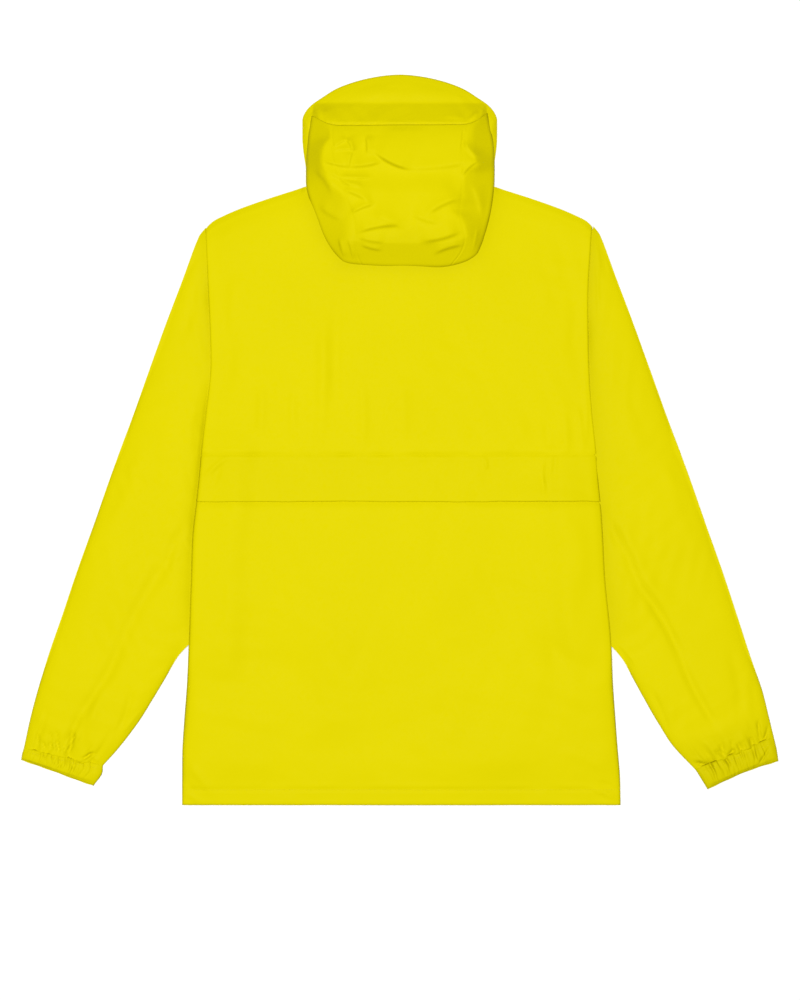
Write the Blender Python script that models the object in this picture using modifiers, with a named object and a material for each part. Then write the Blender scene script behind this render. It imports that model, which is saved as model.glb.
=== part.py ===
"""Anorak pullover of thin woven nylon, laid flat with its back up.

The garment lies face down on the floor, z = 0. +Y runs to the hood, -Y to the hem,
-X is the wearer's left. The origin is on the floor, under the middle of the garment.
The front lies on the floor, the back on the front, and the hood is folded down on the back.
The sleeves lie beside the body, with their inner edges tucked under its sides.
"""

import math
from collections import namedtuple

import bmesh
import bpy
from mathutils import Vector

MM = 0.001

# ---------------------------------------------------------------- driving sizes, in millimetres
CLOTH = 1.0             # wall of every panel
CASING = 1.6            # wall of the cuffs, which are two layers and an elastic
SEAM = 0.3              # gap between neighbouring pieces
ARMHOLE_SEAM = 0.6      # the same at the armholes, where the walls lean
NECK_SEAM = 0.9         # the same along +Y at the front neckline, which runs steeply there
LOFT = 2.9              # how far the air inside lifts the back off the front
SLEEVE_LOFT = 2.7       # the same inside a sleeve
CUFF_LOFT = 1.6         # and inside a cuff
FOLD_GAP = 0.6          # inside of a folded tube edge
TUBE_ROUNDNESS = 0.7    # power of a laid tube's crown: 1 is a plain arch, less is fuller

SIDE_OPENS = 0.62       # share of the half width inside which the air is at its full height
ARMHOLE_AIR = 0.8       # share of the loft that is left along the armholes
ARMHOLE_OPENS_Y = 45.0
SHOULDER_OPENS = 60.0   # from the shoulder seam down to the full height
NECK_AIR = 0.6          # share of the loft that is left along the neckline
HEM_AIR = 0.25          # and along the hem
HEM_OPENS = 55.0

HEM_Y = -438.9
BAND_Y = -18.3          # seam across the back, and the level of the underarm
FLAP_DEPTH = 55.8
FLAP_MIDDLE_Y = -45.9
SHOULDER_X = 232.2      # shoulder tip
SHOULDER_Y = 252.9
SHOULDER_TURN_X = 222.6  # where the shoulder starts to round down to its tip
SHOULDER_TURN_Y = 263.7
NECK_X = 112.1
NECK_Y = 302.1
BACK_NECK_DROP = 10.0
FRONT_NECK_DROP = 90.0

TUCK_LIFT = 3.2         # the body's sides lie this high, on the tucked sleeves
TUCK_FROM = 0.68        # where that lift starts and ends, as shares of the half width
TUCK_FULL = 0.80
TUCK_TOP = (15.6, BAND_Y)
TUCK_END = (-246.3, -312.0)

DOME_BASE_Y = 383.7     # the throat part's arch springs from here
DOME_RISE = 55.2
DOME_X = 117.0
DOME_POWER = 1.75
THROAT_RIDGE_Y = 402.9
THROAT_RIDGE = 2.6
THROAT_RIDGE_WIDTH = 15.0
THROAT_ROWS = 9

HOOD_BED = 5.8          # the folded hood lies this high, on the back
HOOD_RISE = 13.0
HOOD_BRIM_SHARE = 0.55  # height of the hood's free edge, as a share of its rise
HOOD_BRIM_DEPTH = 0.3   # share of the hood's depth over which it reaches its full rise
HOOD_ROLL_DEPTH = 0.6   # and from which it falls to its fold
HOOD_SIDE_STEEPNESS = 3
HOOD_SIDE_CELLS = 4
HOOD_CROWN_CELLS = 8
FOLDS_CELLS = 12
FOLDS_INSET = 0.93
FOLDS_TOP_GAP = 0.5
FOLDS_FOOT = 1.5        # underside of the hidden folds over the throat part
FOLDS_STEP_Y = (309.0, 305.5)
FOLDS_START_Y = 371.0

# ---------------------------------------------------------------- tables
Edge = namedtuple("Edge", "y half")
BODY_EDGE = [
    Edge(SHOULDER_Y, SHOULDER_X),
    Edge(183.3, 228.0),
    Edge(87.3, 226.8),
    Edge(29.7, 232.2),
    Edge(BAND_Y, 237.6),
    Edge(-72.3, 242.4),
    Edge(-104.7, 246.0),
    Edge(-168.3, 248.4),
    Edge(-239.1, 253.2),
    Edge(-288.3, 255.6),
    Edge(-336.3, 259.2),
    Edge(-372.3, 261.6),
    Edge(HEM_Y, 262.8),
]
NECK_COLUMNS = [0.0, 0.26, 0.5, 0.71, 0.87, 1.0]
COLUMNS = [share * NECK_X / SHOULDER_X for share in NECK_COLUMNS]
COLUMNS += [0.58, TUCK_FROM, TUCK_FULL, 0.9, 1.0]
LOWER_ROWS = [HEM_Y, -420.0, -390.0, -350.0, -312.0, -276.0, -246.3, -216.0,
              -180.0, -144.0, -108.0, -74.1, FLAP_MIDDLE_Y, BAND_Y]
UPPER_ROWS = 8

# A soft fold in the back: a ridge, or a trough where its height is negative, along a line.
Fold = namedtuple("Fold", "x1 y1 x2 y2 width height")
BACK_FOLDS = [
    Fold(-196.0, -262.0, -92.0, -330.0, 26.0, -1.3),
    Fold(-150.0, -205.0, -60.0, -268.0, 22.0, 0.5),
    Fold(168.0, -240.0, 248.0, -282.0, 24.0, -1.3),
    Fold(92.0, -130.0, 172.0, -205.0, 30.0, -0.8),
    Fold(-76.0, 70.0, -70.0, 168.0, 14.0, -0.9),
    Fold(222.0, 40.0, 214.0, 118.0, 16.0, -0.8),
    Fold(-206.0, 6.0, -120.0, 150.0, 24.0, -0.7),
]

# A sleeve's sections: outer edge, the body's edge where it crosses, inner edge,
# and the depth of the long trough that runs down it.
Ring = namedtuple("Ring", "out_x out_y edge_x edge_y in_x in_y trough")
SLEEVE_RINGS = [
    Ring(243.0, 239.7, 241.3, -30.0, 240.9, -42.0, 0.2),
    Ring(261.0, 191.7, 242.6, -62.7, 225.6, -84.3, 0.6),
    Ring(281.4, 137.7, 245.8, -96.3, 213.6, -120.3, 1.0),
    Ring(303.0, 77.7, 248.2, -129.9, 206.4, -156.3, 1.3),
    Ring(324.6, 17.7, 249.8, -164.7, 206.4, -188.7, 1.4),
    Ring(346.8, -42.3, 251.8, -200.7, 218.4, -218.7, 1.4),
    Ring(367.8, -102.3, 271.2, -210.3, 247.2, -237.9, 1.3),
]
FREE_RINGS = [
    Ring(388.8, -162.3, 0, 0, 265.8, -259.5, 1.4),
    Ring(405.6, -212.7, 0, 0, 282.8, -288.3, 1.3),
    Ring(420.6, -258.3, 0, 0, 297.2, -312.3, 1.0),
    Ring(435.6, -300.3, 0, 0, 317.6, -344.7, 0.7),
    Ring(444.6, -336.3, 0, 0, 339.2, -372.3, 0.3),
    Ring(447.4, -363.9, 0, 0, 356.4, -393.9, 0.0),
]
CUFF_END = Ring(453.6, -383.1, 0, 0, 368.6, -415.5, 0.0)
SLEEVE_CELLS = 10       # across a sleeve's width
EDGE_CELL = 8           # the cell where a tucked sleeve passes under the body
TROUGH_CELL = 6         # the cell corner that the trough runs through

# The folded hood's outline and its two seams, row by row from its free edge to its fold.
# bulge is the height of the folds that lie across it.
HoodRow = namedtuple("HoodRow", "y left seam_left seam_right right depth bulge")
HOOD_ROWS = [
    HoodRow(375.9, -106.5, -79.0, 77.1, 108.3, 0.0, 0.0),
    HoodRow(359.7, -111.3, -78.0, 73.0, 111.3, 0.09, 0.6),
    HoodRow(335.7, -112.5, -76.0, 70.5, 112.5, 0.22, 1.6),
    HoodRow(322.5, -112.3, -73.0, 70.5, 112.6, 0.30, -1.0),
    HoodRow(303.3, -111.5, -68.0, 70.5, 112.6, 0.42, 1.0),
    HoodRow(278.1, -104.2, -58.0, 68.0, 109.9, 0.57, 0.2),
    HoodRow(258.0, -97.0, -53.0, 69.0, 105.6, 0.69, 1.2),
    HoodRow(244.0, -91.2, -52.5, 72.0, 101.2, 0.77, -1.0),
    HoodRow(228.0, -81.0, -49.0, 70.0, 95.0, 0.87, 0.6),
    HoodRow(217.5, -74.0, -46.0, 64.0, 86.0, 0.94, 0.0),
    HoodRow(211.5, -69.0, -45.0, 60.0, 75.0, 0.985, 0.0),
]
HOOD_FOLD = HoodRow(207.8, -40.0, -40.0, 57.9, 57.9, 1.0, 0.0)

LEMON = (0.807, 0.708, 0.004, 1.0)
LEMON_SHADE = (0.76, 0.66, 0.004, 1.0)


# ---------------------------------------------------------------- helpers
def clear_scene():
    for item in list(bpy.data.objects):
        bpy.data.objects.remove(item, do_unlink=True)


def smooth(start, end, value):
    """0 at start, 1 at end, with a soft turn at both."""
    share = min(1.0, max(0.0, (value - start) / (end - start)))
    return share * share * (3.0 - 2.0 * share)


def read_table(table, y, column):
    """A column of a table whose y falls from row to row, between its rows."""
    for upper, lower in zip(table, table[1:]):
        if y >= lower.y:
            share = min(1.0, max(0.0, (upper.y - y) / (upper.y - lower.y)))
            return getattr(upper, column) * (1 - share) + getattr(lower, column) * share
    return getattr(table[-1], column)


def cloth_material(name, colour, roughness):
    material = bpy.data.materials.new(name)
    material.use_nodes = True
    shader = material.node_tree.nodes["Principled BSDF"]
    shader.inputs["Base Color"].default_value = colour
    shader.inputs["Roughness"].default_value = roughness
    shader.inputs["Metallic"].default_value = 0.0
    return material


def add_object(name, mesh, collection, colour=LEMON, roughness=0.55):
    mesh.materials.append(cloth_material(name + "_nylon", colour, roughness))
    item = bpy.data.objects.new(name, mesh)
    collection.objects.link(item)
    return item


def thicken(item, wall, offset):
    """Give an open sheet its wall: offset 1 adds it above, 0 on both sides."""
    shell = item.modifiers.new("wall", "SOLIDIFY")
    shell.thickness = wall * MM
    shell.offset = offset


def grid_mesh(name, columns, rows, place, closed=False, flipped=False):
    """A grid whose corner (i, j) goes to place(i, j), in millimetres."""
    bm = bmesh.new()
    bmesh.ops.create_grid(bm, x_segments=columns, y_segments=rows, size=1.0)
    for vert in bm.verts:
        i = round((vert.co.x + 1.0) / 2.0 * columns)
        j = round((vert.co.y + 1.0) / 2.0 * rows)
        vert.co = Vector(place(i, j)) * MM
    if closed:
        bmesh.ops.remove_doubles(bm, verts=bm.verts, dist=0.00001)
    if flipped:
        bmesh.ops.reverse_faces(bm, faces=bm.faces)
    mesh = bpy.data.meshes.new(name)
    bm.to_mesh(mesh)
    bm.free()
    return mesh


# ---------------------------------------------------------------- the body's form
def body_column(i):
    """The i-th column from the left, from -1 at the left edge to 1 at the right."""
    middle = len(COLUMNS) - 1
    return math.copysign(COLUMNS[abs(i - middle)], i - middle)


def top_edge(x, neck_drop):
    """The neckline and shoulder line above x."""
    x = abs(x)
    if x < NECK_X:
        return NECK_Y - neck_drop * math.sqrt(1.0 - (x / NECK_X) ** 2)
    if x < SHOULDER_TURN_X:
        share = (x - NECK_X) / (SHOULDER_TURN_X - NECK_X)
        return NECK_Y + share * (SHOULDER_TURN_Y - NECK_Y)
    share = min(1.0, (x - SHOULDER_TURN_X) / (SHOULDER_X - SHOULDER_TURN_X))
    return SHOULDER_TURN_Y + share * (SHOULDER_Y - SHOULDER_TURN_Y)


def tuck_lift(u, y):
    """How far the sleeves tucked under the sides lift the front."""
    across = smooth(TUCK_FROM, TUCK_FULL, abs(u))
    from_top = smooth(TUCK_TOP[0], TUCK_TOP[1], y)
    to_end = smooth(TUCK_END[1], TUCK_END[0], y)
    return TUCK_LIFT * across * from_top * to_end


def air_gap(u, y):
    """The space between front and back: closed at the sewn edges, soft elsewhere."""
    side = smooth(1.0, SIDE_OPENS, abs(u))
    armhole = ARMHOLE_AIR * smooth(BAND_Y, ARMHOLE_OPENS_Y, y)
    x = u * read_table(BODY_EDGE, y, "half")
    shoulder = smooth(0.0, SHOULDER_OPENS, top_edge(x, BACK_NECK_DROP) - y)
    if abs(x) < NECK_X:
        shoulder = max(shoulder, NECK_AIR)
    hem = HEM_AIR + (1.0 - HEM_AIR) * smooth(HEM_Y, HEM_Y + HEM_OPENS, y)
    return SEAM + LOFT * max(side, armhole) * shoulder * hem


def fold_height(fold, x, y):
    """A fold's height at a point: full along its line, fading to its sides and its ends."""
    start = Vector((fold.x1, fold.y1))
    line = Vector((fold.x2, fold.y2)) - start
    share = (Vector((x, y)) - start).dot(line) / line.length_squared
    nearest = start + line * min(1.0, max(0.0, share))
    away = (Vector((x, y)) - nearest).length / fold.width
    return fold.height * math.exp(-away * away)


def back_underside(u, y):
    gap = air_gap(u, y)
    x = u * read_table(BODY_EDGE, y, "half")
    folds = sum(fold_height(fold, x, y) for fold in BACK_FOLDS)
    return tuck_lift(u, y) + CLOTH + gap + folds * (gap - SEAM) / LOFT


def body_place(row_y, height, side_gap=0.0):
    """Place a body grid's corners: row_y(j, u) gives the row, height(u, y) the level."""
    def place(i, j):
        u = body_column(i)
        y = row_y(j, u)
        half = read_table(BODY_EDGE, y, "half") - side_gap
        return u * half, y, height(u, y)
    return place


def upper_row(j, u, start_y, neck_drop):
    top = top_edge(u * SHOULDER_X, neck_drop)
    return start_y + (top - start_y) * j / UPPER_ROWS


def add_front(collection):
    lower = len(LOWER_ROWS) - 1

    def row_y(j, u):
        if j <= lower:
            return LOWER_ROWS[j]
        return upper_row(j - lower, u, BAND_Y, FRONT_NECK_DROP)

    columns = 2 * (len(COLUMNS) - 1)
    mesh = grid_mesh("front_body", columns, lower + UPPER_ROWS, body_place(row_y, tuck_lift))
    thicken(add_object("front_body", mesh, collection, LEMON_SHADE), CLOTH, 1)


def add_back_upper(collection):
    def row_y(j, u):
        return upper_row(j, u, BAND_Y, BACK_NECK_DROP)

    columns = 2 * (len(COLUMNS) - 1)
    mesh = grid_mesh("back_upper", columns, UPPER_ROWS, body_place(row_y, back_underside))
    thicken(add_object("back_upper", mesh, collection), CLOTH, 1)


def add_back_lower(collection):
    rows = LOWER_ROWS[:-1] + [BAND_Y - SEAM]
    columns = 2 * (len(COLUMNS) - 1)
    place = body_place(lambda j, u: rows[j], back_underside)
    mesh = grid_mesh("back_lower", columns, len(rows) - 1, place)
    thicken(add_object("back_lower", mesh, collection), CLOTH, 1)


def add_flap(collection):
    """The flap over the back seam, made from the lower back's points moved out."""
    rows = [BAND_Y - FLAP_DEPTH, FLAP_MIDDLE_Y, BAND_Y - SEAM]

    def height(u, y):
        return back_underside(u, y) + CLOTH + SEAM

    columns = 2 * (len(COLUMNS) - 1)
    mesh = grid_mesh("back_flap", columns, len(rows) - 1, body_place(lambda j, u: rows[j], height))
    thicken(add_object("back_flap", mesh, collection), CLOTH, 1)


# ---------------------------------------------------------------- sleeves and cuffs
def armhole_ring():
    """The sleeve's head, along the body's edge from the shoulder tip to the underarm."""
    points = []
    for cell in range(SLEEVE_CELLS + 1):
        y = SHOULDER_Y + (BAND_Y - SHOULDER_Y) * cell / SLEEVE_CELLS
        points.append((read_table(BODY_EDGE, y, "half") + ARMHOLE_SEAM, y))
    return points


def tucked_ring(ring):
    """Straight from the outer edge to the body's edge, then on under the body."""
    points = []
    for cell in range(SLEEVE_CELLS + 1):
        if cell <= EDGE_CELL:
            share = cell / EDGE_CELL
            start, end = (ring.out_x, ring.out_y), (ring.edge_x, ring.edge_y)
        else:
            share = (cell - EDGE_CELL) / (SLEEVE_CELLS - EDGE_CELL)
            start, end = (ring.edge_x, ring.edge_y), (ring.in_x, ring.in_y)
        points.append(tuple(a + (b - a) * share for a, b in zip(start, end)))
    return points


def free_ring(ring, shift=(0.0, 0.0)):
    points = []
    for cell in range(SLEEVE_CELLS + 1):
        share = cell / SLEEVE_CELLS
        x = ring.out_x + (ring.in_x - ring.out_x) * share + shift[0]
        y = ring.out_y + (ring.in_y - ring.out_y) * share + shift[1]
        points.append((x, y))
    return points


def inner_gap(cell, last_cell, loft, trough=0.0):
    """The space inside a laid tube, from its outer fold to the fold at last_cell."""
    if cell >= last_cell:
        return FOLD_GAP
    crown = loft * math.sin(math.pi * cell / last_cell) ** TUBE_ROUNDNESS
    dip = trough if cell == TROUGH_CELL else 0.0
    return FOLD_GAP + max(0.0, crown - dip)


def tube_ring(points, gaps, wall):
    """One closed section: over the top from the outer fold, back along the bottom."""
    middle = wall / 2.0
    run = Vector(points[-1]) - Vector(points[0])
    turn = run.normalized() * (middle + FOLD_GAP / 2.0)
    fold_level = wall + FOLD_GAP / 2.0
    ring = [(points[0][0] - turn.x, points[0][1] - turn.y, fold_level)]
    ring += [(x, y, wall + gap + middle) for (x, y), gap in zip(points, gaps)]
    ring += [(points[-1][0] + turn.x, points[-1][1] + turn.y, fold_level)]
    ring += [(x, y, middle) for x, y in reversed(points)]
    return ring


def add_tube(name, rings, side, wall, collection):
    """A laid tube through closed rings, mirrored to its side of the body."""
    around = len(rings[0])

    def place(i, j):
        x, y, z = rings[j][i % around]
        return side * x, y, z

    mesh = grid_mesh(name, around, len(rings) - 1, place, closed=True, flipped=side < 0)
    thicken(add_object(name, mesh, collection), wall, 0)


def sleeve_rings():
    head = armhole_ring()
    head_gaps = [max(FOLD_GAP, air_gap(1.0, y)) for _, y in head]
    rings = [tube_ring(head, head_gaps, CLOTH)]
    cells = range(SLEEVE_CELLS + 1)
    for ring in SLEEVE_RINGS:
        gaps = [inner_gap(cell, EDGE_CELL, SLEEVE_LOFT, ring.trough) for cell in cells]
        rings.append(tube_ring(tucked_ring(ring), gaps, CLOTH))
    for ring in FREE_RINGS:
        loft = SLEEVE_LOFT if ring is not FREE_RINGS[-1] else CUFF_LOFT
        gaps = [inner_gap(cell, SLEEVE_CELLS, loft, ring.trough) for cell in cells]
        rings.append(tube_ring(free_ring(ring), gaps, CLOTH))
    return rings


def cuff_rings():
    start = FREE_RINGS[-1]
    along = Vector((CUFF_END.out_x + CUFF_END.in_x, CUFF_END.out_y + CUFF_END.in_y))
    along -= Vector((start.out_x + start.in_x, start.out_y + start.in_y))
    shift = along.normalized() * SEAM
    gaps = [inner_gap(cell, SLEEVE_CELLS, CUFF_LOFT) for cell in range(SLEEVE_CELLS + 1)]
    middle = Ring(*[(a + b) / 2.0 for a, b in zip(start, CUFF_END)])
    return [
        tube_ring(free_ring(start, shift), gaps, CASING),
        tube_ring(free_ring(middle), gaps, CASING),
        tube_ring(free_ring(CUFF_END), gaps, CASING),
    ]


def add_sleeves(collection):
    for word, side in (("left", -1), ("right", 1)):
        add_tube("sleeve_" + word, sleeve_rings(), side, CLOTH, collection)
        add_tube("cuff_" + word, cuff_rings(), side, CASING, collection)


# ---------------------------------------------------------------- the hood
def throat_top(x):
    share = min(1.0, abs(x) / DOME_X)
    return DOME_BASE_Y + DOME_RISE * (1.0 - share ** DOME_POWER) ** (1.0 / DOME_POWER)


def add_throat(collection):
    """The hood's throat part, from the front neckline up to the arch of its edge."""
    middle = len(NECK_COLUMNS) - 1

    def place(i, j):
        u = math.copysign(NECK_COLUMNS[abs(i - middle)], i - middle)
        foot_x = u * NECK_X
        foot_y = top_edge(foot_x, FRONT_NECK_DROP) + NECK_SEAM
        head_x = u * DOME_X
        head_y = throat_top(head_x)
        share = j / THROAT_ROWS
        x = foot_x + (head_x - foot_x) * share
        y = foot_y + (head_y - foot_y) * share
        off_ridge = (y - THROAT_RIDGE_Y) / THROAT_RIDGE_WIDTH
        ridge = THROAT_RIDGE * math.exp(-off_ridge ** 2) * (1.0 - u * u)
        return x, y, ridge

    mesh = grid_mesh("hood_throat", 2 * middle, THROAT_ROWS, place)
    thicken(add_object("hood_throat", mesh, collection, LEMON_SHADE), CLOTH, 1)


def hood_height(x, row):
    """Underside of the hood's outer layer: a low mound, steep at its sides and its fold."""
    middle = (row.left + row.right) / 2.0
    half = (row.right - row.left) / 2.0
    across = 1.0 - min(1.0, abs(x - middle) / half) ** HOOD_SIDE_STEEPNESS
    roll = 1.0 - smooth(HOOD_ROLL_DEPTH, 1.0, row.depth) ** 2
    rise = smooth(0.0, HOOD_BRIM_DEPTH, row.depth)
    brim = HOOD_BRIM_SHARE + (1.0 - HOOD_BRIM_SHARE) * rise
    return HOOD_BED + (HOOD_RISE * brim + row.bulge) * across * roll


def add_hood_panel(name, rows, start, end, cells, collection):
    """One panel of the folded hood, between two columns of the table."""
    gap = SEAM / 2.0

    def place(i, j):
        row = rows[len(rows) - 1 - j]
        from_x = getattr(row, start) + (gap if "seam" in start else 0.0)
        to_x = getattr(row, end) - (gap if "seam" in end else 0.0)
        x = from_x + (to_x - from_x) * i / cells
        return x, row.y, hood_height(x, row)

    mesh = grid_mesh(name, cells, len(rows) - 1, place)
    thicken(add_object(name, mesh, collection), CLOTH, 1)


def add_hood_folds(collection):
    """The hood's hidden layers, one rounded solid under its outer layer."""
    rows = HOOD_ROWS[1:-1]
    for y in (FOLDS_START_Y,) + FOLDS_STEP_Y:
        rows.append(HoodRow(*[read_table(HOOD_ROWS, y, column) for column in HoodRow._fields]))
    rows.sort(key=lambda row: -row.y)
    cells = FOLDS_CELLS

    def corner(i, j, top):
        row = rows[len(rows) - 1 - j]
        middle = (row.left + row.right) / 2.0
        half = (row.right - row.left) / 2.0 * FOLDS_INSET
        x = middle + half * (2.0 * i / cells - 1.0)
        if top:
            return x, row.y, hood_height(x, row) - FOLDS_TOP_GAP
        foot = FOLDS_FOOT if row.y >= FOLDS_STEP_Y[0] else HOOD_BED - SEAM
        return x, row.y, foot

    bm = bmesh.new()
    sheets = []
    for top in (True, False):
        sheet = []
        for j in range(len(rows)):
            sheet.append([bm.verts.new(Vector(corner(i, j, top)) * MM) for i in range(cells + 1)])
        sheets.append(sheet)
    upper, lower = sheets
    last = len(rows) - 1
    for j in range(last):
        for i in range(cells):
            bm.faces.new((upper[j][i], upper[j][i + 1], upper[j + 1][i + 1], upper[j + 1][i]))
            bm.faces.new((lower[j][i], lower[j + 1][i], lower[j + 1][i + 1], lower[j][i + 1]))
        bm.faces.new((upper[j][0], upper[j + 1][0], lower[j + 1][0], lower[j][0]))
        bm.faces.new((upper[j][cells], lower[j][cells], lower[j + 1][cells], upper[j + 1][cells]))
    for i in range(cells):
        bm.faces.new((upper[0][i], lower[0][i], lower[0][i + 1], upper[0][i + 1]))
        bm.faces.new((upper[last][i], upper[last][i + 1], lower[last][i + 1], lower[last][i]))
    mesh = bpy.data.meshes.new("hood_folds")
    bm.to_mesh(mesh)
    bm.free()
    add_object("hood_folds", mesh, collection, LEMON_SHADE)


def add_hood(collection):
    add_throat(collection)
    crown_rows = HOOD_ROWS + [HOOD_FOLD]
    add_hood_panel("hood_side_left", HOOD_ROWS, "left", "seam_left", HOOD_SIDE_CELLS, collection)
    add_hood_panel("hood_crown", crown_rows, "seam_left", "seam_right", HOOD_CROWN_CELLS, collection)
    add_hood_panel("hood_side_right", HOOD_ROWS, "seam_right", "right", HOOD_SIDE_CELLS, collection)
    add_hood_folds(collection)


def main():
    clear_scene()
    anorak = bpy.data.collections.new("anorak_pullover")
    bpy.context.scene.collection.children.link(anorak)
    add_front(anorak)
    add_back_upper(anorak)
    add_back_lower(anorak)
    add_flap(anorak)
    add_sleeves(anorak)
    add_hood(anorak)


main()
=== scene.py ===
"""Anorak pullover laid flat, back up: the nylon, its creases, gathers, seams and stitches.

All the making is in millimetres, in the frame's own axes: +Y runs from hem to hood, +X to the
wearer's right, and z = 0 is the surface that the garment lies on.
"""

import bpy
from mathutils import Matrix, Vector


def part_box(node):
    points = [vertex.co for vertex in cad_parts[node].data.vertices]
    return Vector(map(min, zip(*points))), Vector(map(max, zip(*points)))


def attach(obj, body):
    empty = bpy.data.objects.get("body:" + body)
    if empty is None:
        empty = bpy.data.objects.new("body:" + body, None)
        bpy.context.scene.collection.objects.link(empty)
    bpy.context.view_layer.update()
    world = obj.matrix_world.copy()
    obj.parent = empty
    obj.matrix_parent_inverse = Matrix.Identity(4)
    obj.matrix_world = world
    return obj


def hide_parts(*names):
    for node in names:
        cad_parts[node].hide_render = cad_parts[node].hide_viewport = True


bl_info = {
    "name": "Anorak Pullover",
    "version": (1, 0, 0),
    "blender": (4, 5, 0),
    "location": "View3D > Sidebar > Anorak",
    "description": "Dresses the laid-out anorak in crisp lemon nylon, with its creases and seams",
    "category": "Object",
}

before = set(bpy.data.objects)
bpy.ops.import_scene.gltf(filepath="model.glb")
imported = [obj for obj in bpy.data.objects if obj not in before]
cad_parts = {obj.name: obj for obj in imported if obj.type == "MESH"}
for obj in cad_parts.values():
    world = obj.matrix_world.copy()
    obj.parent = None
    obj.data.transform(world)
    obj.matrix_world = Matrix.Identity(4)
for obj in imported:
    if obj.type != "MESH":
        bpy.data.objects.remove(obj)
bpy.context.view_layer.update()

import math
from collections import namedtuple

import bmesh
import bpy
import numpy as np
from bpy.props import FloatProperty, FloatVectorProperty, PointerProperty
from mathutils import Vector
from mathutils.bvhtree import BVHTree

MM = 0.001
BODY = "root"

# ---------------------------------------------------------------- places read from the frame, mm
LOW, HIGH = 0, 1


def reach(node, end, axis):
    """How far a node of the frame reaches: its LOW or HIGH end along an axis."""
    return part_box(node)[end]["xyz".index(axis)] / MM


HEM_Y = reach("back_lower", LOW, "y")
BAND_Y = reach("back_upper", LOW, "y")
FLAP_Y = reach("back_flap", LOW, "y")
DOME_Y = reach("hood_throat", HIGH, "y")
HOOD_HALF = reach("hood_throat", HIGH, "x")

# ---------------------------------------------------------------- tables
# The body's left and right edges: the armholes down to the band, then the side seams.
SideRow = namedtuple("SideRow", "y left right")
SIDES = [
    SideRow(262.0, -234.5, 232.5),
    SideRow(252.0, -233.6, 230.9),
    SideRow(220.0, -231.8, 228.4),
    SideRow(183.0, -230.1, 226.2),
    SideRow(130.0, -227.6, 226.2),
    SideRow(87.0, -226.9, 227.1),
    SideRow(35.0, -232.4, 230.7),
    SideRow(-18.0, -238.6, 236.0),
    SideRow(-50.0, -241.6, 238.4),
    SideRow(-85.0, -245.4, 241.8),
    SideRow(-105.0, -247.8, 243.2),
    SideRow(-168.0, -250.5, 246.6),
    SideRow(-235.0, -252.8, 253.2),
    SideRow(-288.0, -255.3, 255.9),
    SideRow(-336.0, -258.9, 259.3),
    SideRow(-372.0, -261.2, 262.0),
    SideRow(-400.0, -261.5, 264.4),
    SideRow(-440.0, -261.5, 265.4),
]

# The shoulder line, and the necklines that the hood hides.
TopRow = namedtuple("TopRow", "x back front")
TOPS = [
    TopRow(0.0, 292.0, 212.0),
    TopRow(40.0, 292.6, 217.0),
    TopRow(75.0, 295.0, 233.0),
    TopRow(98.0, 302.8, 270.0),
    TopRow(112.0, 303.7, 303.7),
    TopRow(127.8, 299.1, 299.1),
    TopRow(164.4, 287.3, 287.3),
    TopRow(197.4, 275.1, 275.1),
    TopRow(212.0, 268.6, 268.6),
    TopRow(223.0, 262.8, 262.8),
    TopRow(230.0, 257.0, 257.0),
    TopRow(236.0, 250.0, 250.0),
]

# How deep the cloth sinks along the armholes and the body's sides.
SinkRow = namedtuple("SinkRow", "y left right")
SINKS = [
    SinkRow(256.0, 0.0, 0.15), SinkRow(228.0, 0.0, 0.45), SinkRow(200.0, 0.4, 0.5),
    SinkRow(168.0, 0.7, 0.45), SinkRow(108.0, 0.45, 0.65), SinkRow(74.0, 0.4, 0.3),
    SinkRow(48.0, 0.5, 0.1), SinkRow(0.0, 0.8, 0.06), SinkRow(-36.0, 0.9, 0.0),
    SinkRow(-70.0, 1.1, 0.15), SinkRow(-96.0, 1.2, 0.3), SinkRow(-144.0, 0.7, 0.15),
    SinkRow(-192.0, 0.6, 0.1), SinkRow(-240.0, 0.5, 0.1),
]

# A sleeve's sections down its length: outer edge, the point that bends it round the
# underarm, inner edge, and how high the air lifts it.
SleeveRow = namedtuple("SleeveRow", "along out_x out_y mid_x mid_y in_x in_y loft")
SLEEVE_HEAD = [
    SleeveRow(0.00, 233.2, 255.0, 228.0, 117.0, 238.0, -19.0, 4.4),
    SleeveRow(0.02, 239.2, 247.6, 233.5, 96.0, 239.0, -26.0, 5.0),
    SleeveRow(0.05, 243.0, 239.7, 241.3, 60.0, 236.5, -38.0, 5.6),
    SleeveRow(0.14, 261.0, 191.7, 243.5, -44.0, 229.6, -80.3, 6.6),
    SleeveRow(0.24, 281.4, 137.7, 246.4, -70.0, 215.6, -116.3, 7.2),
    SleeveRow(0.34, 303.0, 77.7, 251.0, -100.0, 207.4, -152.3, 7.6),
    SleeveRow(0.44, 324.6, 17.7, 262.0, -128.0, 206.4, -186.7, 7.8),
    SleeveRow(0.54, 346.8, -42.3, 282.0, -158.0, 217.4, -217.7, 7.8),
    SleeveRow(0.64, 367.8, -102.3, 305.5, -176.0, 243.2, -237.4, 7.6),
]
LEFT_END = [
    SleeveRow(0.73, 389.2, -162.3, 327.4, -211.0, 265.8, -259.5, 7.4),
    SleeveRow(0.81, 406.0, -212.7, 344.4, -250.0, 282.8, -288.3, 7.4),
    SleeveRow(0.87, 421.8, -258.3, 359.0, -285.3, 297.2, -312.3, 7.2),
    SleeveRow(0.93, 436.8, -307.0, 376.1, -326.6, 317.6, -344.2, 6.8),
    SleeveRow(0.97, 445.0, -339.0, 391.7, -358.0, 339.2, -372.0, 6.0),
    SleeveRow(1.00, 451.9, -371.0, 403.4, -382.0, 356.8, -391.4, 4.6),
]
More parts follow.
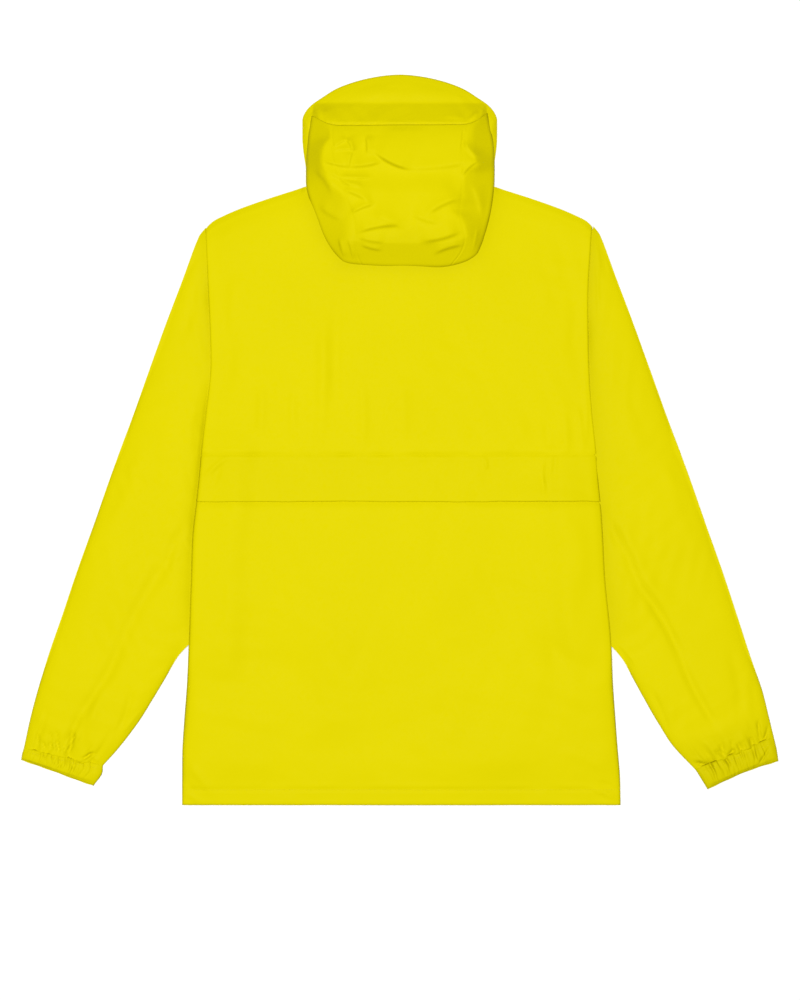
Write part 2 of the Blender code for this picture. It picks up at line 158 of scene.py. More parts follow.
RIGHT_END = [
    SleeveRow(0.73, 389.0, -162.3, 328.0, -212.0, 267.0, -262.8, 7.4),
    SleeveRow(0.81, 405.6, -212.7, 343.0, -250.0, 280.4, -287.0, 7.4),
    SleeveRow(0.87, 420.4, -258.3, 357.5, -286.0, 294.6, -312.8, 7.2),
    SleeveRow(0.93, 436.2, -303.0, 374.0, -323.0, 311.6, -342.0, 6.8),
    SleeveRow(0.97, 443.4, -332.0, 386.8, -352.0, 330.2, -370.0, 6.0),
    SleeveRow(1.00, 449.6, -357.5, 402.6, -377.6, 355.8, -396.9, 4.6),
]
# A cuff from its gathered top to its opening, in the same columns.
LEFT_CUFF = [
    SleeveRow(0.00, 451.9, -371.0, 403.4, -382.0, 356.8, -391.4, 4.8),
    SleeveRow(0.50, 453.8, -377.2, 405.4, -389.8, 358.2, -402.0, 6.4),
    SleeveRow(1.00, 454.8, -383.2, 410.6, -399.4, 367.4, -414.7, 5.6),
]
RIGHT_CUFF = [
    SleeveRow(0.00, 449.6, -357.5, 402.6, -377.6, 355.8, -396.9, 4.8),
    SleeveRow(0.50, 452.8, -371.1, 407.0, -389.1, 362.4, -407.6, 6.4),
    SleeveRow(1.00, 454.9, -384.7, 408.4, -398.2, 369.4, -419.1, 5.6),
]

# The folded hood's outline.
Point = namedtuple("Point", "x y")
HOOD_BRIM = [
    Point(-105.2, 388.4), Point(-97.0, 383.5), Point(-88.5, 378.6), Point(-78.0, 375.6),
    Point(-60.0, 375.2), Point(0.0, 375.8), Point(60.0, 376.2), Point(80.0, 377.0),
    Point(90.0, 380.4), Point(98.5, 386.2), Point(105.0, 391.6),
]
HOOD_LEFT = [
    Point(-105.2, 388.4), Point(-108.4, 371.7), Point(-110.3, 353.0), Point(-111.8, 335.7),
    Point(-112.2, 317.7), Point(-111.6, 303.3), Point(-108.4, 290.0), Point(-104.2, 278.1),
    Point(-97.7, 261.0), Point(-90.4, 242.1), Point(-81.0, 227.0), Point(-70.5, 213.6),
]
HOOD_RIGHT = [
    Point(105.0, 391.6), Point(108.4, 374.0), Point(111.4, 359.7), Point(112.8, 341.0),
    Point(113.4, 323.7), Point(112.6, 303.3), Point(110.7, 286.0), Point(107.9, 269.7),
    Point(104.6, 256.0), Point(100.6, 242.1), Point(96.3, 230.4), Point(91.5, 221.0),
]
HOOD_FOLD = [
    Point(-70.5, 213.6), Point(-60.0, 211.0), Point(-48.0, 209.6), Point(-26.0, 208.0),
    Point(16.0, 207.6), Point(57.9, 208.0), Point(67.5, 210.0), Point(76.7, 212.8),
    Point(84.3, 216.2), Point(91.5, 221.0),
]
# Where the hood's two seams run, in shares of its width.
SeamRow = namedtuple("SeamRow", "down left right")
HOOD_SEAMS = [
    SeamRow(0.00, 0.130, 0.862), SeamRow(0.12, 0.140, 0.840), SeamRow(0.24, 0.158, 0.815),
    SeamRow(0.34, 0.175, 0.812), SeamRow(0.41, 0.190, 0.815), SeamRow(0.48, 0.205, 0.815),
    SeamRow(0.54, 0.215, 0.810), SeamRow(0.64, 0.222, 0.807), SeamRow(0.72, 0.215, 0.830),
    SeamRow(0.81, 0.196, 0.855), SeamRow(0.90, 0.170, 0.850), SeamRow(1.00, 0.152, 0.800),
]
# The folded hood is a low pillow: its foot, and the edges of its flat top.
PillowRow = namedtuple("PillowRow", "y foot_left top_left top_right foot_right")
PILLOW = [
    PillowRow(408.0, -104.0, -72.0, 74.0, 104.0),
    PillowRow(390.0, -105.4, -76.0, 80.0, 105.2),
    PillowRow(376.0, -107.6, -75.0, 79.0, 107.9),
    PillowRow(362.7, -109.2, -77.7, 78.0, 110.8),
    PillowRow(352.5, -110.4, -86.7, 77.0, 112.2),
    PillowRow(335.7, -111.8, -91.1, 88.9, 113.0),
    PillowRow(328.0, -112.1, -90.5, 90.0, 113.3),
    PillowRow(317.7, -112.2, -86.0, 78.3, 113.3),
    PillowRow(299.7, -111.0, -73.1, 67.9, 112.3),
    PillowRow(287.7, -107.7, -61.1, 66.3, 110.9),
    PillowRow(275.7, -103.4, -52.6, 57.0, 108.9),
    PillowRow(263.7, -98.8, -52.0, 67.9, 106.4),
    PillowRow(245.7, -91.9, -51.6, 73.9, 101.7),
    PillowRow(233.7, -85.6, -50.7, 73.5, 97.7),
    PillowRow(222.0, -77.0, -48.0, 69.0, 92.2),
    PillowRow(206.0, -60.0, -40.0, 56.0, 80.0),
]

# A crease runs from one point to another, bowed to its left by bow. A plain one is a soft ridge,
# or a trough where its height is negative. One with a reach is a ledge: it drops at the line
# and fades away over reach on its left side.
Crease = namedtuple("Crease", "x1 y1 x2 y2 bow width height reach", defaults=(0.0,))
BACK_CREASES = [
    Crease(228.0, -418.0, 262.0, -434.0, 2.0, 2.2, 1.1),
    Crease(240.0, -412.0, 262.0, -420.0, 1.0, 2.0, -0.9),
    Crease(-259.0, -424.0, -240.0, -436.0, 1.0, 2.0, 1.0),
    Crease(-258.0, -410.0, -246.0, -424.0, 1.0, 2.4, -0.8),
    Crease(-166.0, 66.0, -168.0, 4.0, 1.0, 6.0, 0.88),
    Crease(-128.0, 60.0, -127.0, 14.0, -1.0, 5.0, 0.72),
    Crease(-93.0, 146.0, -95.0, 0.0, 2.0, 7.0, 0.96),
    Crease(-74.0, 172.0, -76.0, 44.0, -2.0, 8.0, -0.96),
    Crease(-45.0, 66.0, -44.0, -6.0, 1.0, 6.0, 0.8),
    Crease(0.0, 74.0, 3.0, -4.0, 2.0, 9.0, 0.72),
    Crease(222.0, 88.0, 224.0, -6.0, 1.5, 3.0, 1.12),
    Crease(214.0, 40.0, 219.0, -14.0, 1.0, 4.0, 0.88),
    Crease(196.0, 34.0, 199.0, -16.0, 2.0, 5.0, 0.8),
    Crease(176.0, 24.0, 180.0, -14.0, 0.0, 6.0, -0.72),
    Crease(152.0, 22.0, 118.0, -10.0, 3.0, 9.0, 0.64),
    Crease(-206.0, 150.0, -210.0, 60.0, 3.0, 10.0, -0.88),
    Crease(-196.0, 196.0, -203.0, 110.0, -2.0, 7.0, 0.64),
    Crease(206.0, 176.0, 209.0, 96.0, 2.0, 8.0, -0.64),
    Crease(120.0, 202.0, 205.0, 128.0, 8.0, 22.0, 0.56),
    Crease(-120.0, 190.0, -196.0, 130.0, -9.0, 24.0, 0.56),
    Crease(40.0, 150.0, 72.0, 70.0, 6.0, 20.0, -0.64),
    Crease(-184.0, -258.0, -92.0, -330.0, 14.0, 24.0, -1.76),
    Crease(-150.0, -206.0, -60.0, -262.0, 10.0, 20.0, 0.96),
    Crease(-214.0, -300.0, -150.0, -352.0, -6.0, 16.0, 0.88),
    Crease(170.0, -238.0, 250.0, -282.0, -8.0, 20.0, -1.68),
    Crease(150.0, -268.0, 232.0, -322.0, 5.0, 18.0, 0.88),
    Crease(84.0, -110.0, 176.0, -206.0, -16.0, 26.0, -0.96),
    Crease(208.0, -96.0, 214.0, -176.0, 4.0, 12.0, 0.8),
    Crease(20.0, -300.0, 130.0, -322.0, 10.0, 22.0, 0.72),
    Crease(-100.0, -372.0, 20.0, -352.0, -8.0, 20.0, -0.72),
    Crease(190.0, -372.0, 252.0, -396.0, 4.0, 9.0, 0.88),
    Crease(-252.0, -392.0, -228.0, -424.0, 2.0, 5.0, 0.96),
]
FLAP_CREASES = [
    Crease(102.0, -22.0, 103.5, -36.0, 0.5, 1.7, 1.12),
    Crease(177.0, -24.0, 178.0, -60.0, -2.0, 2.2, 1.05),
    Crease(186.0, -18.0, 184.0, -42.0, 1.0, 2.0, 0.9),
    Crease(170.0, -40.0, 172.0, -66.0, 1.0, 2.6, -0.83),
    Crease(-233.0, -44.0, -206.0, -21.0, 1.5, 3.0, 0.98),
    Crease(-226.0, -58.0, -216.0, -30.0, -1.0, 4.0, -0.75),
    Crease(-20.0, -22.0, -18.0, -44.0, 0.0, 5.0, 0.45),
    Crease(-120.0, -24.0, -122.0, -50.0, 1.0, 6.0, 0.45),
]
HOOD_CREASES = [
    Crease(-31.0, 342.5, 11.5, 321.5, -3.0, 1.5, 3.2, 30.0),
    Crease(8.0, 322.0, 88.0, 331.0, -2.5, 2.8, 2.0, 16.0),
    Crease(-62.0, 325.0, -22.0, 331.0, -2.0, 2.0, 2.8, 12.0),
    Crease(-91.0, 331.5, -62.0, 324.5, -1.0, 1.2, 1.7, 12.0),
    Crease(-71.0, 312.5, -34.0, 311.4, -0.8, 1.0, 1.6, 7.0),
    Crease(-88.0, 318.0, -58.0, 300.0, 2.0, 2.0, 1.8, 12.0),
    Crease(-78.0, 349.0, -63.0, 357.5, 0.6, 1.1, 1.6, 7.0),
    Crease(-64.0, 358.5, -56.0, 343.0, 0.8, 1.1, 1.8, 8.0),
    Crease(-77.0, 344.5, -53.0, 345.0, 0.6, 1.0, 1.5, 6.0),
    Crease(-40.3, 362.0, -39.5, 340.0, 0.6, 1.1, 2.0, 9.0),
    Crease(-60.0, 323.0, -56.0, 344.0, 0.8, 1.2, 1.7, 8.0),
    Crease(-70.0, 304.0, -46.0, 300.0, 1.0, 1.4, 1.5, 8.0),
    Crease(-66.0, 296.0, -38.0, 283.0, 1.4, 1.8, 2.0, 11.0),
    Crease(-57.0, 269.0, -30.0, 280.0, 1.4, 1.5, 2.2, 10.0),
    Crease(-50.0, 246.0, -2.0, 254.5, 2.2, 1.8, 2.6, 17.0),
    Crease(-34.0, 265.0, 6.0, 250.0, 2.0, 4.0, 2.2, 16.0),
    Crease(-49.0, 240.0, -20.0, 235.0, -1.0, 1.5, 1.7, 7.0),
    Crease(-46.0, 232.0, -22.0, 226.0, -1.0, 1.2, 1.6, 6.0),
    Crease(14.0, 267.0, 48.0, 256.0, -1.0, 2.6, 1.8, 13.0),
    Crease(33.0, 267.5, 72.0, 287.0, 2.0, 2.8, 3.2, 13.0),
    Crease(26.0, 235.5, 72.0, 247.0, -2.4, 2.4, 3.4, 14.0),
    Crease(42.0, 222.0, 75.0, 232.0, 1.4, 1.6, 2.2, 9.0),
    Crease(74.0, 314.0, 94.0, 332.0, 1.5, 1.4, 2.0, 9.0),
    Crease(76.0, 354.0, 90.0, 336.0, -1.0, 1.4, 1.7, 9.0),
    Crease(-102.0, 322.0, -82.0, 294.0, 2.5, 2.8, 1.9, 13.0),
    Crease(-98.0, 278.0, -70.0, 262.0, -1.0, 2.8, 1.7, 12.0),
    Crease(-73.0, 240.0, -66.0, 216.0, -1.0, 1.4, 1.5, 6.0),
    Crease(-62.0, 238.0, -57.0, 214.0, 1.0, 1.2, 1.3, 5.0),
    Crease(86.0, 304.0, 98.0, 268.0, 1.0, 2.8, 1.7, 12.0),
    Crease(92.0, 252.0, 87.0, 226.0, 0.5, 1.5, 1.4, 6.0),
    Crease(76.0, 373.0, 73.0, 343.0, 0.8, 0.9, -1.1),
]
THROAT_CREASES = [
    Crease(-92.5, 396.0, -85.0, 377.0, -1.0, 1.2, 1.4, 8.0),
    Crease(91.0, 395.0, 81.0, 383.0, 1.0, 1.0, 1.3, 7.0),
    Crease(97.0, 391.0, 84.0, 380.0, 1.0, 0.9, -1.1),
    Crease(-108.5, 371.0, -103.0, 392.0, 1.0, 1.4, 1.2, 6.0),
    Crease(103.0, 395.0, 111.0, 364.0, -1.0, 1.4, 1.2, 6.0),
    Crease(52.0, 386.0, 78.0, 383.0, 0.6, 1.4, 0.8, 6.0),
]
LEFT_CREASES = [
    Crease(-246.0, -96.0, -262.0, -128.0, 3.0, 1.76, 1.43),
    Crease(-250.0, -110.0, -258.0, -132.0, -2.0, 1.44, -1.3),
    Crease(-268.0, -130.0, -282.0, -166.0, 3.0, 1.92, 1.3),
    Crease(-276.0, -134.0, -276.0, -160.0, -2.0, 1.6, -1.04),
    Crease(-256.0, -104.0, -276.0, -146.0, -4.0, 4.8, -1.69),
    Crease(-274.0, -142.0, -334.0, -242.0, -5.0, 8.8, -2.47),
    Crease(-332.0, -238.0, -390.0, -338.0, 6.0, 7.2, -2.47),
    Crease(-384.0, -330.0, -402.0, -366.0, 1.0, 4.0, -1.69),
    Crease(-300.0, -150.0, -352.0, -250.0, 6.0, 9.6, 1.04),
    Crease(-352.0, -290.0, -372.0, -350.0, -3.0, 5.6, 1.17),
    Crease(-322.0, -300.0, -340.0, -352.0, 3.0, 4.0, -1.17),
    Crease(-306.0, -322.0, -330.0, -350.0, -1.0, 2.4, 1.17),
    Crease(-429.7, -361.5, -425.7, -371.1, 0.4, 1.12, -2.25),
    Crease(-420.9, -362.1, -417.3, -373.3, 0.3, 1.25, -2.7),
    Crease(-412.7, -360.7, -408.7, -375.0, 0.4, 1.38, -3.0),
    Crease(-419.7, -350.1, -418.5, -366.7, 0.3, 1.5, -1.35),
    Crease(-412.5, -348.1, -410.1, -366.7, 0.3, 1.5, -1.35),
    Crease(-403.5, -364.0, -401.5, -378.0, 0.3, 1.25, -2.1),
    Crease(-391.7, -349.9, -399.7, -380.7, 0.8, 2.0, -4.2),
    Crease(-386.0, -352.0, -391.0, -372.0, 0.8, 2.4, 0.9),
    Crease(-381.7, -384.9, -366.9, -375.3, 0.6, 1.88, -3.9),
    Crease(-372.0, -372.0, -362.0, -387.0, -0.6, 2.0, 0.9),
    Crease(-436.0, -352.0, -433.0, -368.0, 0.3, 1.62, -1.2),
    Crease(-243.0, 200.0, -262.0, 120.0, 3.0, 6.4, -0.78),
    Crease(-262.0, 60.0, -282.0, -30.0, -4.0, 9.6, 0.78),
    Crease(-310.0, 0.0, -346.0, -110.0, 5.0, 9.6, 0.65),
]
RIGHT_CREASES = [
    Crease(244.0, -92.0, 288.0, -176.0, 4.0, 5.25, -2.73),
    Crease(284.0, -170.0, 340.0, -266.0, 4.0, 5.62, -2.86),
    Crease(336.0, -260.0, 380.0, -344.0, -3.0, 5.25, -2.34),
    Crease(262.0, -100.0, 318.0, -196.0, -5.0, 9.0, 1.43),
    Crease(256.0, -240.0, 284.0, -272.0, 2.0, 1.8, 1.3),
    Crease(262.0, -258.0, 282.0, -286.0, -1.0, 2.25, -1.17),
    Crease(232.0, 250.0, 240.0, 200.0, 2.0, 1.95, 1.04),
    Crease(238.0, 246.0, 248.0, 196.0, 2.0, 2.25, -0.91),
    Crease(234.0, 236.0, 238.0, 150.0, 1.0, 2.25, 0.78),
    Crease(300.0, -300.0, 322.0, -356.0, 3.0, 3.75, -1.3),
    Crease(396.0, -250.0, 408.0, -330.0, 3.0, 6.75, -0.91),
    Crease(350.3, -387.8, 381.0, -390.0, -1.0, 2.04, -3.64),
    Crease(352.0, -383.0, 376.0, -381.0, -1.0, 2.4, 1.0),
    Crease(378.3, -372.3, 392.3, -383.3, 1.0, 1.8, -3.36),
    Crease(385.3, -364.3, 388.9, -381.3, 0.4, 1.44, -2.66),
    Crease(403.3, -371.3, 392.3, -383.3, -0.8, 1.68, -3.22),
    Crease(397.3, -360.3, 400.3, -376.3, 0.5, 1.44, -2.52),
    Crease(405.3, -364.3, 410.3, -375.3, 0.4, 1.32, -2.52),
    Crease(411.0, -360.3, 415.3, -373.3, 0.4, 1.32, -2.8),
    Crease(420.3, -357.3, 424.3, -369.3, 0.4, 1.32, -2.66),
    Crease(430.3, -336.3, 434.3, -362.3, -1.0, 1.8, -2.52),
    Crease(443.3, -340.3, 437.3, -362.3, 0.8, 1.8, -3.22),
    Crease(366.0, -362.0, 380.0, -378.0, 1.5, 3.2, 1.1),
    Crease(262.0, 60.0, 290.0, -40.0, 4.0, 9.0, 0.65),
    Crease(320.0, -20.0, 352.0, -130.0, -5.0, 9.0, 0.65),
]
LEFT_CUFF_CREASES = [
    Crease(-399.5, -378.5, -389.0, -384.5, -1.0, 1.25, -1.5),
    Crease(-389.0, -384.0, -377.0, -386.5, -1.0, 1.25, -1.65),
    Crease(-427.0, -376.0, -425.0, -388.0, 0.4, 1.0, -0.9),
    Crease(-417.5, -377.0, -415.5, -391.0, 0.4, 1.0, -1.05),
    Crease(-409.5, -379.0, -407.0, -395.0, -0.4, 1.12, -1.2),
    Crease(-401.0, -380.0, -400.5, -394.0, 0.4, 1.0, -1.05),
    Crease(-394.5, -382.0, -392.0, -398.0, 0.3, 1.0, -1.05),
]
RIGHT_CUFF_CREASES = [
    Crease(387.9, -380.0, 397.3, -392.0, 0.8, 1.44, -1.95),
    Crease(402.0, -379.0, 405.3, -395.0, 0.4, 1.32, -1.56),
    Crease(414.3, -374.9, 417.8, -393.7, -0.6, 1.44, -1.95),
    Crease(424.5, -370.0, 426.5, -388.0, 0.4, 1.2, -1.3),
    Crease(443.9, -368.7, 429.0, -391.3, 0.8, 1.68, -2.47),
    Crease(435.0, -366.9, 440.5, -382.7, 0.4, 1.32, -1.69),
    Crease(361.0, -397.0, 379.0, -390.0, 0.5, 1.44, -1.56),
]


# ---------------------------------------------------------------- working out curves and fields
def ease(start, end, value):
    """0 at start, 1 at end, with a soft turn at both."""
    share = np.clip((value - start) / (end - start), 0.0, 1.0)
    return share * share * (3.0 - 2.0 * share)


def bulge(distance, width):
    """A rounded edge: 0 at the edge, steep there, and 1 from width on."""
    share = np.clip(distance / width, 0.0, 1.0)
    return np.sqrt(share * (2.0 - share))


def slope_off(distance, width):
    """A gentle edge: a straight fall at the edge that levels out at width, from 0 to 1."""
    share = np.clip(distance / width, 0.0, 1.0)
    return share * (2.0 - share)


def ridge(distance, width):
    """A soft ridge: 1 on its line, and nearly 0 from twice its width on."""
    return np.exp(-(distance / width) ** 2)


def through(rows, key, column):
    """A smooth curve through a table's column, as a function of its key column."""
    rows = sorted(rows, key=lambda row: getattr(row, key))
    keys = np.array([getattr(row, key) for row in rows], float)
    values = np.array([getattr(row, column) for row in rows], float)
    slopes = np.gradient(values, keys)

    def curve(at):
        at = np.clip(at, keys[0], keys[-1])
        i = np.clip(np.searchsorted(keys, at) - 1, 0, len(keys) - 2)
        step = keys[i + 1] - keys[i]
        t = (at - keys[i]) / step
        rise = t * t * (3.0 - 2.0 * t)
        leave = t * (1.0 - t) ** 2 * step * slopes[i]
        arrive = t * t * (t - 1.0) * step * slopes[i + 1]
        return values[i] * (1.0 - rise) + values[i + 1] * rise + leave + arrive

    return curve


def path_curve(points):
    """A smooth curve through points, from 0 at the first to 1 at the last by length."""
    steps = [0.0]
    for a, b in zip(points, points[1:]):
        steps.append(steps[-1] + math.hypot(b.x - a.x, b.y - a.y))
    Knot = namedtuple("Knot", "at x y")
    knots = [Knot(step / steps[-1], p.x, p.y) for step, p in zip(steps, points)]
    curve_x = through(knots, "at", "x")
    curve_y = through(knots, "at", "y")
    return lambda at: (curve_x(at), curve_y(at))


def creases(rows, x, y):
    """The height that a table of creases adds at points."""
    total = np.zeros_like(x)
    for row in rows:
        run_x, run_y = row.x2 - row.x1, row.y2 - row.y1
        length = math.hypot(run_x, run_y)
        along = ((x - row.x1) * run_x + (y - row.y1) * run_y) / length ** 2
        side = ((y - row.y1) * run_x - (x - row.x1) * run_y) / length
        side = side - row.bow * 4.0 * along * (1.0 - along)
        fade = ease(-0.12, 0.3, along) * ease(1.12, 0.7, along)
        if row.reach:
            step = 0.5 + 0.5 * np.tanh(side / row.width)
            profile = step * np.exp(-np.maximum(side, 0.0) / row.reach)
        else:
            profile = ridge(side, row.width)
        total += row.height * profile * fade
    return total


def lumps(x, y, size, seed):
    """A soft uneven field from -1 to 1, whose lumps are about size across.

    Each seed gives another field, and always the same one.
    """
    gx, gy = x / size, y / size
    ix, iy = np.floor(gx), np.floor(gy)
    fx, fy = ease(0.0, 1.0, gx - ix), ease(0.0, 1.0, gy - iy)

    def corner(cx, cy):
        wave = np.sin(cx * 127.1 + cy * 311.7 + seed * 74.7) * 43758.5453
        return 2.0 * (wave - np.floor(wave)) - 1.0

    low = corner(ix, iy) * (1 - fx) + corner(ix + 1, iy) * fx
    high = corner(ix, iy + 1) * (1 - fx) + corner(ix + 1, iy + 1) * fx
    return low * (1 - fy) + high * fy


def facets(x, y, size, seed):
    """Flat little planes that meet in straight creases, here and there, from -1 to 1."""
    total = np.zeros_like(x)
    for number in range(4):
        angle = 1.7 * seed + 0.83 * number
        run = (x * math.cos(angle) + y * math.sin(angle)) * (0.8 + 0.3 * number) / size
        run = run + 0.4 * lumps(x, y, 1.7 * size, seed + number) + 0.61 * number
        zigzag = 4.0 * np.abs(run - np.floor(run) - 0.5) - 1.0
        total += zigzag * ease(-0.3, 0.6, lumps(x, y, 1.4 * size, seed + 10 + number))
    return 0.5 * total


# ---------------------------------------------------------------- the garment's surfaces
edge_left = through(SIDES, "y", "left")
edge_right = through(SIDES, "y", "right")
top_of_back = through(TOPS, "x", "back")
top_of_front = through(TOPS, "x", "front")
hood_brim = path_curve(HOOD_BRIM)
hood_left = path_curve(HOOD_LEFT)
hood_right = path_curve(HOOD_RIGHT)
hood_fold = path_curve(HOOD_FOLD)
hood_left_edge = through(HOOD_LEFT, "y", "x")
hood_right_edge = through(HOOD_RIGHT, "y", "x")
pillow_curves = {column: through(PILLOW, "y", column) for column in PillowRow._fields[1:]}
fold_edge = through(HOOD_FOLD, "x", "y")

FLOOR_GAP = 0.4         # the air under the lowest cloth
HEM_DEPTH = 18.6        # how far the hem is turned up
ARMHOLE_ROLL = 0.5      # how far the body's edge rolls down into the armhole seam
BACK_CREASING = 1.35    # how strongly the back's table of creases counts
HOOD_CREASING = 1.25    # and the hood's
TUCK_LIFT = 3.3         # how far the tucked sleeves lift the body's sides
SHOULDER_Y = 255.0      # where the armholes begin
UNDERARM = (BAND_Y - 12.0, BAND_Y + 26.0)   # where the armhole passes into the side
FLAP_WALL = 0.3         # the flap's cloth
CASING_WALL = 0.9       # the cuffs' doubled cloth


def back_top(x):
    """The shoulder line, and between the shoulders the back's neckline."""
    return top_of_back(np.abs(x))


def front_top(x):
    """The front's upper edge, which lies on the back's or below it."""
    return np.minimum(top_of_front(np.abs(x)), back_top(x))


def body_edge(side):
    """The body's edge on one side, as a distance from the middle."""
    return edge_right if side > 0 else (lambda y: -edge_left(y))


def side_room(x, y):
    """How far inside the body's nearer side a point is, and outside if negative."""
    return np.minimum(x - edge_left(y), edge_right(y) - x)


def over_sleeve(y):
    """1 where the body's sides lie over the sleeves, and 0 near the hem, where they don't."""
    return ease(-306.0, -252.0, y)


def tuck_lift(x, y):
    """The body's sides lie on the tucked inner edges of the sleeves."""
    inside = ease(74.0, 42.0, side_room(x, y))
    return TUCK_LIFT * inside * ease(16.0, -22.0, y) * over_sleeve(y)


sink_left = through(SINKS, "y", "left")
sink_right = through(SINKS, "y", "right")


def sink(x, y):
    """How deep the nearer armhole or side line lies."""
    return np.where(x < 0.0, sink_left(y), sink_right(y))


def hood_shade(x, y):
    """How near a point of the back is to the folded hood: 1 beside it, fading outwards. It lifts
    the back there, and gives the painted shadow of the hood on it.
    """
    reach_x = np.maximum(hood_left_edge(y) - x, x - hood_right_edge(y))
    below = fold_edge(x) - y
    away = np.maximum(reach_x, below)
    corner = np.where((reach_x > 0.0) & (below > 0.0), np.hypot(reach_x, below), away)
    return np.exp(-np.maximum(corner, 0.0) / 11.0)


def back_height(x, y, loft):
    """The top of the back, without its seams and hems."""
    room = side_room(x, y)
    turn = np.where(x < 0.0, bulge(room, 7.0), slope_off(room, 11.0))
    beside_sleeve = 0.25 + 0.35 * turn + 0.40 * ease(0.0, 60.0, room)
    free = bulge(room, 26.0)
    side = free + (beside_sleeve - free) * over_sleeve(y)
    at_armhole = 0.86 + 0.14 * ease(0.0, 40.0, room)
    side = side + (at_armhole - side) * ease(UNDERARM[0], UNDERARM[1], y)
    shoulder = 0.3 + 0.7 * slope_off((back_top(x) - y) * 0.93, 26.0)
    shoulder = np.where(np.abs(x) < HOOD_HALF, np.maximum(shoulder, 0.72), shoulder)
    hem = 0.3 + 0.7 * ease(0.0, 58.0, y - HEM_Y)
    waves = 0.34 * lumps(x, y, 96.0, 5) + 0.2 * lumps(x, y, 47.0, 9)
    air = loft * side * shoulder * hem * (1.0 + 0.8 * waves)
    return FLOOR_GAP + 1.2 + tuck_lift(x, y) + air + 1.7 * hood_shade(x, y)


# ---------------------------------------------------------------- meshes
# Painted shade: this attribute darkens the cloth's colour where it lies steep, and more where a
# piece is given painted shade.
PAINTED_SHADE_ATTRIBUTE = "level"         # the attribute that says how level the cloth lies, 1 for flat


def lattice(name, points, around=False, flipped=False, shade=None, crisp_end=False):
    """A surface through rows of points, in millimetres.

    around joins each row's ends, flipped turns the faces over, and crisp_end leaves the last row
    of faces flat. Where shade is below 1, painted shade darkens the cloth.
    """
    rows, columns = points.shape[:2]
    mesh = bpy.data.meshes.new(name)
    index = np.arange(rows * columns).reshape(rows, columns)
    right = np.roll(index, -1, axis=1)
    keep = slice(None) if around else slice(0, columns - 1)
    corners = [index[:-1, keep], right[:-1, keep], right[1:, keep], index[1:, keep]]
    if flipped:
        corners.reverse()
    faces = np.stack([corner.ravel() for corner in corners], axis=1)
    mesh.from_pydata((points.reshape(-1, 3) * MM).tolist(), [], faces.tolist())
    mesh.shade_smooth()
    if crisp_end:
        smooth = np.arange(len(faces)) < (rows - 2) * corners[0].shape[1]
        mesh.polygons.foreach_set("use_smooth", smooth)
    mesh.update()
    normals = np.empty(len(mesh.vertices) * 3, dtype=np.float32)
    mesh.vertices.foreach_get("normal", normals)
    # Painted shade: steep cloth gets a darker colour, and shade darkens it further.
    lie = np.abs(normals[2::3])
    if shade is not None:
        lie = lie * shade.ravel()
    level = mesh.attributes.new(PAINTED_SHADE_ATTRIBUTE, "FLOAT", "POINT")
    level.data.foreach_set("value", lie)
    return mesh


def add_piece(name, mesh, material, nodes=(), wall=0.0, offset=-1.0):
    """A piece of the garment, with its cloth's thickness and the CAD nodes it stands for."""
    piece = bpy.data.objects.new(name, mesh)
    bpy.context.scene.collection.objects.link(piece)
    mesh.materials.append(material)
    if wall:
        shell = piece.modifiers.new("wall", "SOLIDIFY")
        shell.thickness = wall * MM
        shell.offset = offset
    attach(piece, BODY)
    if nodes:
        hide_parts(*nodes)
    return piece


def stack(x, y, z):
    """Points from their three coordinates."""
    return np.stack([x, y, z], axis=-1)


# ---------------------------------------------------------------- materials
class Value:
    """A node's output that can be used in an expression."""

    def __init__(self, recipe, socket):
        self.recipe = recipe
        self.socket = socket

    def output(self, name):
        """Another output of the same node."""
        return Value(self.recipe, self.socket.node.outputs[name])

    def _with(self, operation, other, swapped=False):
        """A Math node on this value and another one or a number."""
        first, second = (other, self) if swapped else (self, other)
        return self.recipe.add("ShaderNodeMath", {"operation": operation}, {0: first, 1: second})

    def __add__(self, other):
        return self._with("ADD", other)

    def __sub__(self, other):
        return self._with("SUBTRACT", other)

    def __mul__(self, other):
        return self._with("MULTIPLY", other)

    def __radd__(self, other):
        return self._with("ADD", other, swapped=True)

    def __rsub__(self, other):
        return self._with("SUBTRACT", other, swapped=True)

    def __rmul__(self, other):
        return self._with("MULTIPLY", other, swapped=True)

    def __abs__(self):
        return self.recipe.add("ShaderNodeMath", {"operation": "ABSOLUTE"}, {0: self})


class Recipe:
    """The nodes of a material, or of the world, under construction."""

    def __init__(self, holder, shader="Principled BSDF"):
        holder.use_nodes = True
        self.holder = holder
        self.tree = holder.node_tree
        self.shader = self.tree.nodes[shader]

    def add(self, kind, settings=None, inputs=None, output=0):
        """Add any node: its settings first, then the values or links of its sockets."""
        node = self.tree.nodes.new(kind)
        for key, value in (settings or {}).items():
            setattr(node, key, value)
        self.feed(node, inputs or {})
        return Value(self, node.outputs[output])

    def feed(self, node, inputs):
        """Link each socket to its value, or set it where the value is a plain number."""
        for key, value in inputs.items():
            if isinstance(value, Value):
                self.tree.links.new(value.socket, node.inputs[key])
            else:
                node.inputs[key].default_value = value

    def finish(self, inputs):
        """Feed the shader and hand over what was made."""
        self.feed(self.shader, inputs)
        return self.holder

    def blend(self, factor, first, second):
        """Mix two colours."""
        settings = {"data_type": "RGBA", "blend_type": "MIX"}
        return self.add("ShaderNodeMix", settings, {0: factor, 6: first, 7: second}, output=2)


def tinted(colour, scale):
    """A colour made lighter or darker, with its alpha."""
    return (colour[0] * scale, colour[1] * scale, colour[2] * scale, 1.0)


THREAD_PITCH = 0.62     # of the weave


